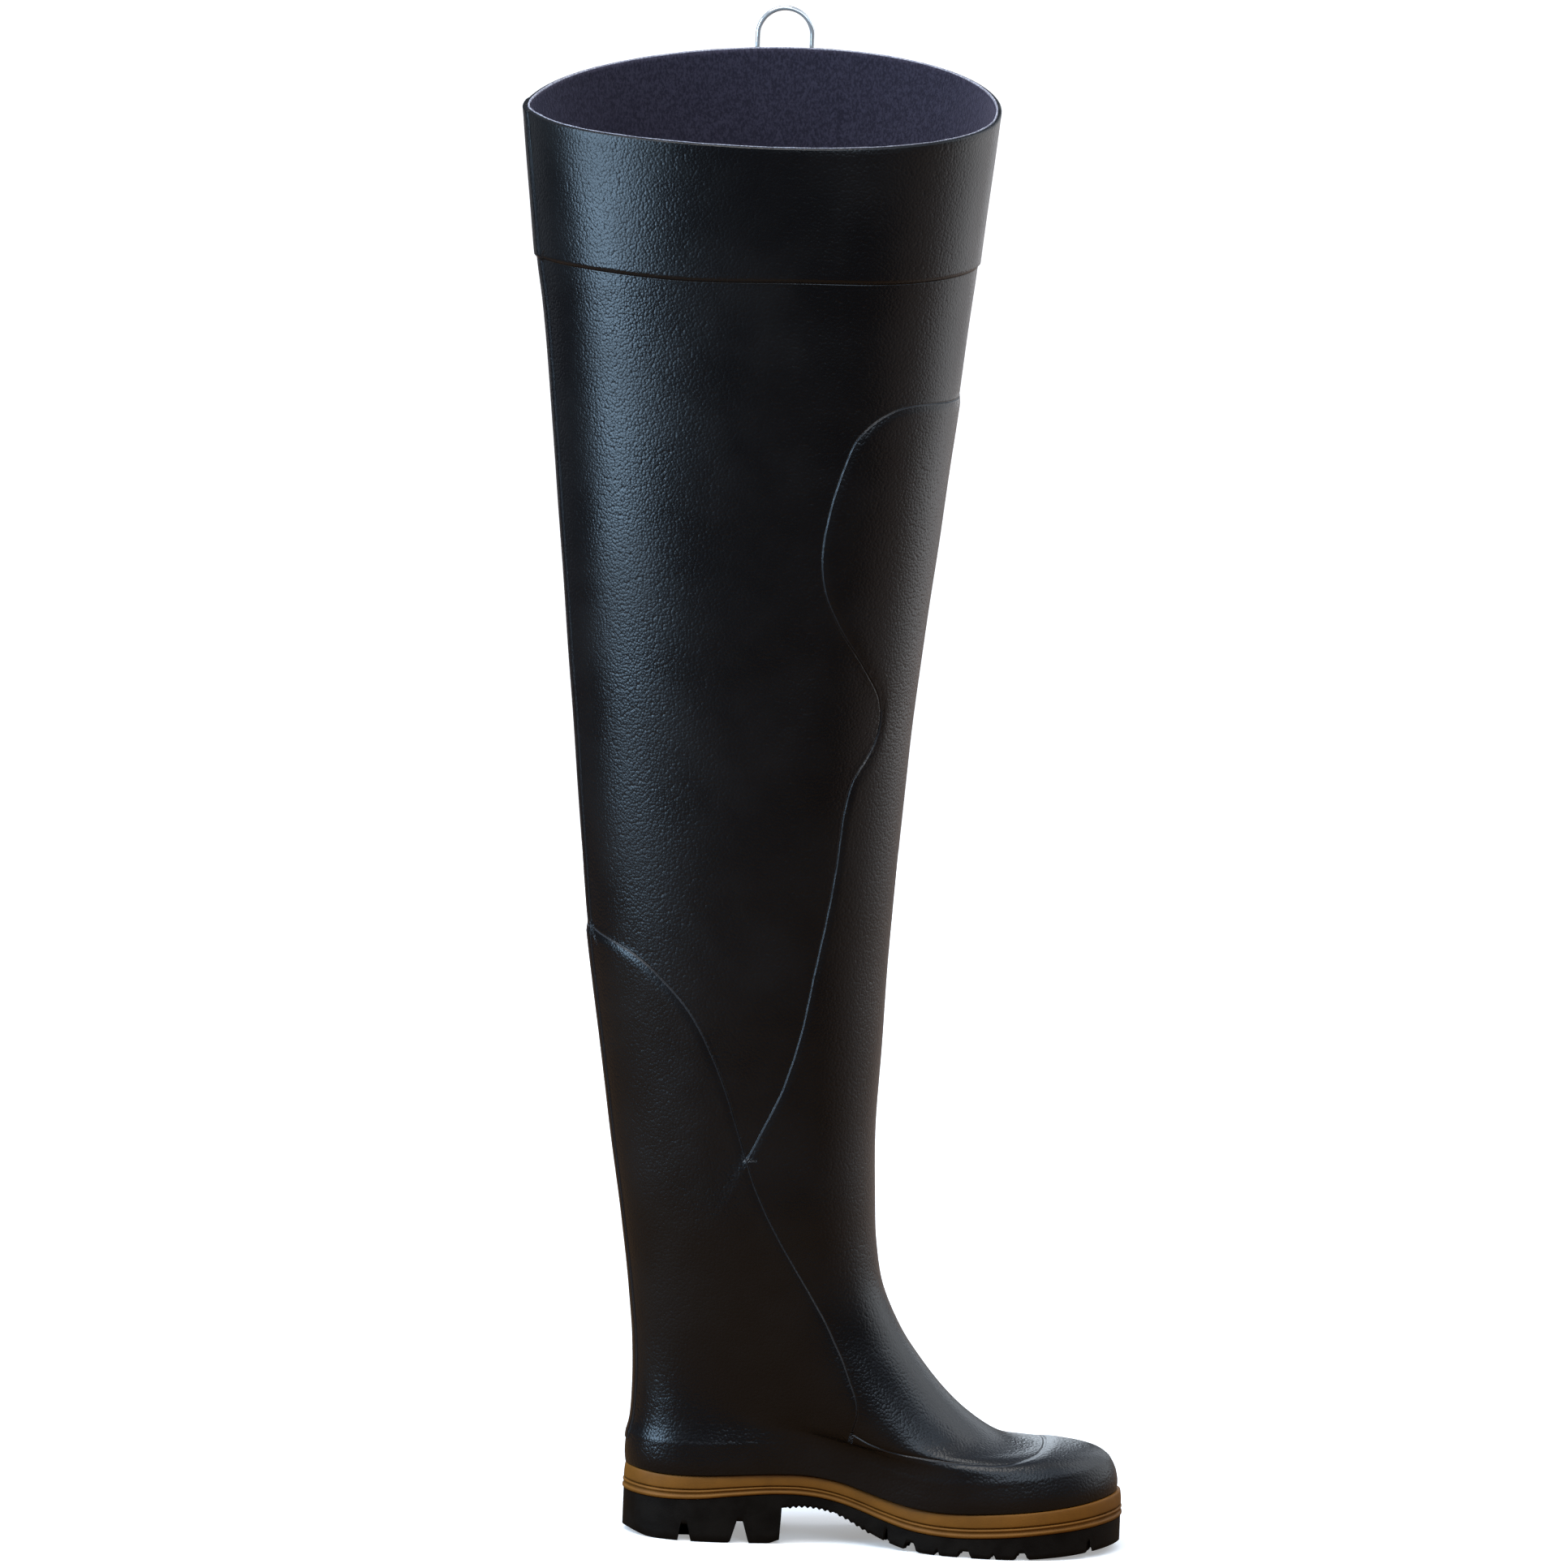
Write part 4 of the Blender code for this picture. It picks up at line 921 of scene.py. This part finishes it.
def makeTread():
    # closed rings across the sole, one for each station from heel to toe: down the inner side, across the
    # tread, up the outer side and back over the top. The underside is its line plus the cuts' depths
    breast = tread["heelFront"]
    xs = treadStations()
    share = np.clip((xs + boot["heelReach"]) / boot["soleLength"], 0.0008, 0.9992)
    slope = 1.0 - 2.0 * tread["inset"] / boot["soleLength"]
    xs = alongSole(0.5) + (alongSole(share) - alongSole(0.5)) * slope
    medial, lateral = (np.maximum(half - tread["inset"], tread["inset"]) for half in halfWidths(share))
    floor = np.where(xs < breast, 0.0, soleLine(3, xs))
    floor = np.where(np.abs(xs - breast) < 0.0002, 0.5 * soleLine(3, np.full_like(xs, breast)), floor)
    breastRound = smoothStep(xs, breast - 0.0075, breast) * tread["breastRound"] * (xs < breast)
    backLift = tread["backLift"] * smoothStep(-xs, 0.030, 0.0515) ** 1.3
    top = soleLine(2, xs) - boot["gap"]
    floor = np.minimum(floor + breastRound + backLift, top - 0.002)

    v = np.linspace(-1.0, 1.0, tread["across"])[None, :]
    y = np.where(v < 0, v * medial[:, None], v * lateral[:, None])
    x = np.broadcast_to(xs[:, None], y.shape)
    low = np.minimum(floor[:, None] + treadDepth(x, y, v), top[:, None] - 0.0015)
    bottom = np.stack([x, y, low], axis=-1)
    # round the lower edge: the outermost columns pull in and lift
    for sign, half, columns in ((-1.0, medial, (0, 1, 2)), (1.0, lateral, (-1, -2, -3))):
        edge = np.minimum(tread["edge"], 0.3 * half)
        for column, inward, lift in zip(columns, (0.0, 0.35, 1.0), (1.0, 0.3, 0.0)):
            bottom[:, column, 1] = sign * (half - inward * edge)
            bottom[:, column, 2] += lift * edge

    def sideWall(signedHalf, edge, shares):
        # rows down a straight side, from the top to its rounded edge
        return [np.stack([xs, signedHalf, top + (edge - top) * t], axis=1) for t in shares]

    down = (0.0, 0.12, 0.30, 0.6, 0.85)
    around = sideWall(-medial, bottom[:, 0, 2], down)
    around += [bottom[:, k] for k in range(tread["across"])]
    around += sideWall(lateral, bottom[:, -1, 2], down[::-1])
    around += [np.stack([xs, part * half, top], axis=1)
               for part, half in ((0.5, lateral), (0.0, lateral), (-0.5, medial))]
    rings = np.stack(around, axis=1)
    rows, count = rings.shape[:2]
    faces = gridFaces(rows, count)
    # each end closes on its own middle point
    middles = [rings[0].mean(axis=0), rings[-1].mean(axis=0)]
    k = np.arange(count)
    fans = []
    for number, start in enumerate((0, (rows - 1) * count)):
        middle = np.full(count, rows * count + number)
        fans.append(np.stack([middle, start + (k + 1) % count, start + k], axis=1))
    obj = newMesh("treadSole", np.concatenate([rings.reshape(-1, 3), middles]), faces, treadRubber)
    closeWith(obj, np.concatenate(fans))
    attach(obj, "boot")
    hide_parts("outsole")
    print("sole made:", len(faces) * 2, "triangles")


def makeFootbed():
    # a crowned pad inside the foot, its edge rounded at the wall: rings move in from the edge and rise
    pad = {"thick": 0.0030, "inset": 0.0033, "columns": 150}
    turn = turns(pad["columns"])
    base = upperPoints(np.array([0.0, 0.06]), turn)
    edge = base[0] - levelled(gridNormals(base)[0]) * pad["inset"]
    middle = edge * (1.0, 0.0, 0.0)
    rings = []
    for inward, height in ((0.02, 0.0), (0.0, 0.4), (0.01, 0.85), (0.04, 1.0), (0.25, 0.93), (0.55, 0.88),
                           (0.85, 0.86)):
        row = edge + (middle - edge) * inward
        row[:, 2] = soleLine(1, row[:, 0]) + boot["gap"] + height * pad["thick"]
        rings.append(row)
    obj = newMesh("footbed", rings, gridFaces(len(rings), pad["columns"], capped=True), liningCloth)
    closeWith(obj)
    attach(obj, "boot")
    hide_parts("insole")


# ring and its tab

ring = {
    "wire": 0.0030,
    "width": 0.0350,
    "rise": 0.0316,
    "corner": 0.0035,
    "tabLength": 0.036,
    "tabWidth": 0.022,
    "tabLayer": 0.0018,
    "clearance": 0.0004,      # between wire and tab
    "tabOff": 0.0012,         # the tab's middle, off the cuff
    "tabTop": 0.0075,         # the tab leaves the cuff this far under the bar
}


def makeRing():
    # a round wire carried along a D that stands on the joint's axis: a straight bar with small corners at
    # its ends, and half a circle over them
    joint = next(j for j in frame["joints"] if j["name"] == "ring_swing")
    axis = np.array(joint["pos_m"])
    half = 0.5 * (ring["width"] - ring["wire"])
    corner = ring["corner"]
    centre = ring["rise"] - half
    a = np.linspace(-math.pi / 2, 0.0, 10)
    b = np.linspace(0.0, math.pi, 49)[1:-1]
    bar = np.linspace(corner - half, half - corner, 12)[1:-1]
    x = np.concatenate([half - corner + corner * np.cos(a), half * np.cos(b),
                        corner - half - corner * np.cos(a[::-1]), bar])
    z = np.concatenate([corner + corner * np.sin(a), centre + half * np.sin(b),
                        corner + corner * np.sin(a[::-1]), 0 * bar])
    path = np.stack([x, 0 * x, z], axis=1) + axis
    ahead = unit(nextLessLast(path))
    out = np.stack([ahead[:, 2], 0 * x, -ahead[:, 0]], axis=1)
    turn = turns(20)[None, :, None]
    section = np.cos(turn) * out[:, None] + np.sin(turn) * (0.0, 1.0, 0.0)
    points = path[:, None] + 0.5 * ring["wire"] * section
    obj = newMesh("wireRing", points, gridFaces(*points.shape[:2], joined=True), steel)
    closeWith(obj)
    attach(obj, "ring")
    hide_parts("strap_ring")
    return axis


def makeTab(axis):
    # a strip folded round the bar: its path goes up the cuff, round the bar and down again, and its
    # section is a rounded rectangle; the lower part follows the cuff's own surface
    middle = 0.5 * ring["wire"] + ring["clearance"] + 0.5 * ring["tabLayer"]
    across = np.linspace(-0.5, 0.5, 25)
    near = upperPoints(np.linspace(24.4, 26.0, 60), 2.0 * math.pi - np.linspace(0.9, 2.2, 200))
    xs = axis[0] + across * ring["tabWidth"]

    def wallY(x, z):
        # the cuff's outer face at x and z, read off the surface grid
        ys, zs = [], []
        for row in near:
            row = row[np.argsort(row[:, 0])]
            ys.append(np.interp(x, row[:, 0], row[:, 1]))
            zs.append(np.interp(x, row[:, 0], row[:, 2]))
        return np.interp(z, zs, ys) + skin["cuff"]

    strips = []
    for drop in np.linspace(ring["tabLength"], 0.004, 26):
        z = axis[2] - drop
        y = np.array([wallY(x, z) for x in xs]) + ring["tabOff"]
        blend = smoothStep(np.array(ring["tabTop"] - drop), 0.0, 0.0040)
        y = y * (1 - blend) + (axis[1] - middle) * blend
        strips.append(np.stack([xs, y, np.full_like(xs, z)], axis=1))
    for angle in np.linspace(math.pi, -0.55 * math.pi, 26):
        y, z = axis[1] + middle * math.cos(angle), axis[2] + middle * math.sin(angle)
        strips.append(np.stack([xs, np.full_like(xs, y), np.full_like(xs, z)], axis=1))
    strips = np.array(strips)
    out = unit(np.cross(unit(np.gradient(strips, axis=0)), (1.0, 0.0, 0.0)))
    thick = 0.5 * ring["tabLayer"] * (1.0 - 0.35 * np.clip(np.abs(across) * 2.0 - 0.94, 0, None) / 0.06)
    thickness = np.broadcast_to(thick, strips.shape[:2]).copy()
    thickness[0] *= 0.55
    thickness[-1] *= 0.7
    front = strips + out * thickness[..., None]
    back = strips - out * thickness[..., None]
    loop = np.concatenate([front, back[:, ::-1]], axis=1)
    obj = newMesh("ringTab", loop, gridFaces(*loop.shape[:2], capped=True), rubber)
    closeWith(obj)
    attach(obj, "boot")
    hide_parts("ring_tab")
    print("ring and tab made")


# floor, light and camera

def makeStage():
    # pale to the eye; the boot's gloss sees a warm floor near it and a dark studio beyond
    stage = {"pale": (0.90, 0.90, 0.90), "near": (0.17, 0.092, 0.042), "far": (0.020, 0.018, 0.022),
             "side": (0.32, 0.24, 0.195), "glow": 0.33, "nearReach": (0.8, 1.9), "sideReach": (0.20, 0.80),
             "towards": (0.75, 0.66, 0.0)}
    material, tree, shader = newMaterial("paleFloor")
    setInputs(tree, shader, {"Base Color": stage["pale"], "Roughness": 0.9, "Specular IOR Level": 0.0,
                             "Emission Color": (1.0, 1.0, 1.0), "Emission Strength": stage["glow"]})
    distance = tree.nodes.new("ShaderNodeVectorMath")
    distance.operation = "LENGTH"
    setInputs(tree, distance, {0: objectVector(tree)})
    toSide = tree.nodes.new("ShaderNodeVectorMath")
    toSide.operation = "DOT_PRODUCT"
    toSide.inputs[1].default_value = stage["towards"]
    setInputs(tree, toSide, {0: objectVector(tree)})
    reach = ranged(tree, distance.outputs["Value"], *stage["nearReach"])
    besides = ranged(tree, toSide.outputs["Value"], *stage["sideReach"])
    dark = tree.nodes.new("ShaderNodeBsdfDiffuse")
    ahead = mixed(tree, reach, stage["near"], stage["far"])
    setInputs(tree, dark, {"Color": mixed(tree, besides, ahead, stage["side"])})
    cameraOrOthers(tree, "Material Output", shader, dark)
    corners = ((-9.0, -22.0, 0.0), (9.0, -22.0, 0.0), (9.0, 30.0, 0.0), (-9.0, 30.0, 0.0))
    newMesh("floor", corners, [[0, 1, 2, 3]], material)


def facing(back):
    # a turn that makes a lamp or camera look against the direction given
    return Vector(back).to_track_quat("Z", "Y").to_matrix().to_4x4()


def addLamp(name, kind, place, back, values):
    # a lamp at the place that shines against the direction given
    data = bpy.data.lights.new(name, kind)
    for key, value in values.items():
        setattr(data, key, value)
    lamp = bpy.data.objects.new(name, data)
    lamp.matrix_world = Matrix.Translation(place) @ facing(back)
    bpy.context.scene.collection.objects.link(lamp)


def makeLights():
    # banks of light whose reflections lie on the rubber as in the photograph, and a broad soft sun
    lights = {
        # name: place, looks at, width, height, watts, colour
        "leftBank": ((-1.15, -0.51, 0.84), (0.0, 0.0, 0.72), 0.48, 1.16, 20.0, (0.50, 0.74, 1.0)),
        "rightBank": ((1.28, 0.57, 0.86), (0.0, 0.0, 0.66), 1.10, 1.45, 3.9, (0.92, 0.96, 1.0)),
        "rightWide": ((1.21, 0.70, 0.86), (0.0, 0.0, 0.66), 2.40, 1.45, 5.2, (0.86, 0.93, 1.0)),
        "topBank": ((1.10, 0.55, 1.75), (0.1, 0.0, 0.40), 0.90, 0.80, 2.0, (0.93, 0.97, 1.0)),
        "frontBank": ((1.55, -0.05, 1.25), (0.1, 0.0, 0.40), 0.80, 0.45, 1.5, (0.74, 0.87, 1.0)),
        "frontSky": ((1.05, -0.75, 1.45), (0.2, 0.0, 0.08), 1.00, 0.80, 2.5, (0.60, 0.79, 1.0)),
        "backBank": ((-1.00, 1.15, 0.80), (0.0, 0.0, 0.70), 1.20, 1.00, 0.9, (0.78, 0.88, 1.0)),
        "farBank": ((0.85, 2.10, 0.95), (0.0, 0.0, 0.55), 0.70, 1.40, 2.0, (0.86, 0.93, 1.0)),
        "farFill": ((-0.15, 2.30, 0.65), (0.0, 0.0, 0.50), 0.90, 1.50, 10.0, (0.80, 0.90, 1.0)),
        "frontFill": ((0.80, -2.50, 1.70), (0.1, 0.0, 0.2), 1.60, 1.00, 18.0, (0.66, 0.82, 1.0)),
    }
    for name, (place, aim, width, height, watts, colour) in lights.items():
        addLamp(name, "AREA", place, Vector(place) - Vector(aim),
                {"shape": "RECTANGLE", "size": width, "size_y": height, "energy": watts, "color": colour})
    addLamp("softSky", "SUN", (0.0, 0.0, 0.0), (-0.25, -0.35, 1.0),
            {"energy": 2.4, "angle": math.radians(50.0), "color": (1.0, 0.985, 0.97)})


def makeWorld():
    # pale to the eye; to the boot dark at the sides, bluer and brighter overhead
    sky = {"seen": (0.97, 0.98, 1.0), "strength": 0.95,
           "side": (0.030, 0.031, 0.036), "over": (0.24, 0.29, 0.38), "reach": (0.10, 0.80)}
    world = bpy.data.worlds.new("paleRoom")
    world.use_nodes = True
    tree = world.node_tree
    seen = tree.nodes["Background"]
    setInputs(tree, seen, {"Color": sky["seen"], "Strength": sky["strength"]})
    upward = tree.nodes.new("ShaderNodeSeparateXYZ")
    setInputs(tree, upward, {0: tree.nodes.new("ShaderNodeTexCoord").outputs["Generated"]})
    room = tree.nodes.new("ShaderNodeBackground")
    height = ranged(tree, upward.outputs["Z"], *sky["reach"])
    setInputs(tree, room, {"Color": mixed(tree, height, sky["side"], sky["over"])})
    cameraOrOthers(tree, "World Output", seen, room)
    bpy.context.scene.world = world


def makeCamera():
    # looks at the target from the azimuth and elevation given, rolled about its own line of sight
    view = {"azimuth": 0.0, "elevation": 9.8, "roll": 2.3, "distance": 20.0, "width": 0.9230,
            "target": (0.0274, 0.0, 0.4493)}
    camera = bpy.data.cameras.new("photoView")
    camera.sensor_width = 36.0
    camera.lens = camera.sensor_width * view["distance"] / view["width"]
    camera.clip_start = 0.1
    camera.clip_end = 100.0
    az, el = math.radians(view["azimuth"]), math.radians(view["elevation"])
    back = Vector((math.sin(az) * math.cos(el), -math.cos(az) * math.cos(el), math.sin(el)))
    obj = bpy.data.objects.new("photoView", camera)
    obj.matrix_world = (Matrix.Translation(Vector(view["target"]) + back * view["distance"])
                        @ Matrix.Rotation(math.radians(view["roll"]), 4, back) @ facing(back))
    bpy.context.scene.collection.objects.link(obj)
    bpy.context.scene.camera = obj


makeCamera()
makeStage()
makeLights()
makeWorld()
bpy.context.scene.view_settings.view_transform = "Standard"
makeLeg()
makeLining()
makeLiningEdge()
makeBand()
makeTread()
makeFootbed()
makeTab(makeRing())
print("all pieces made")
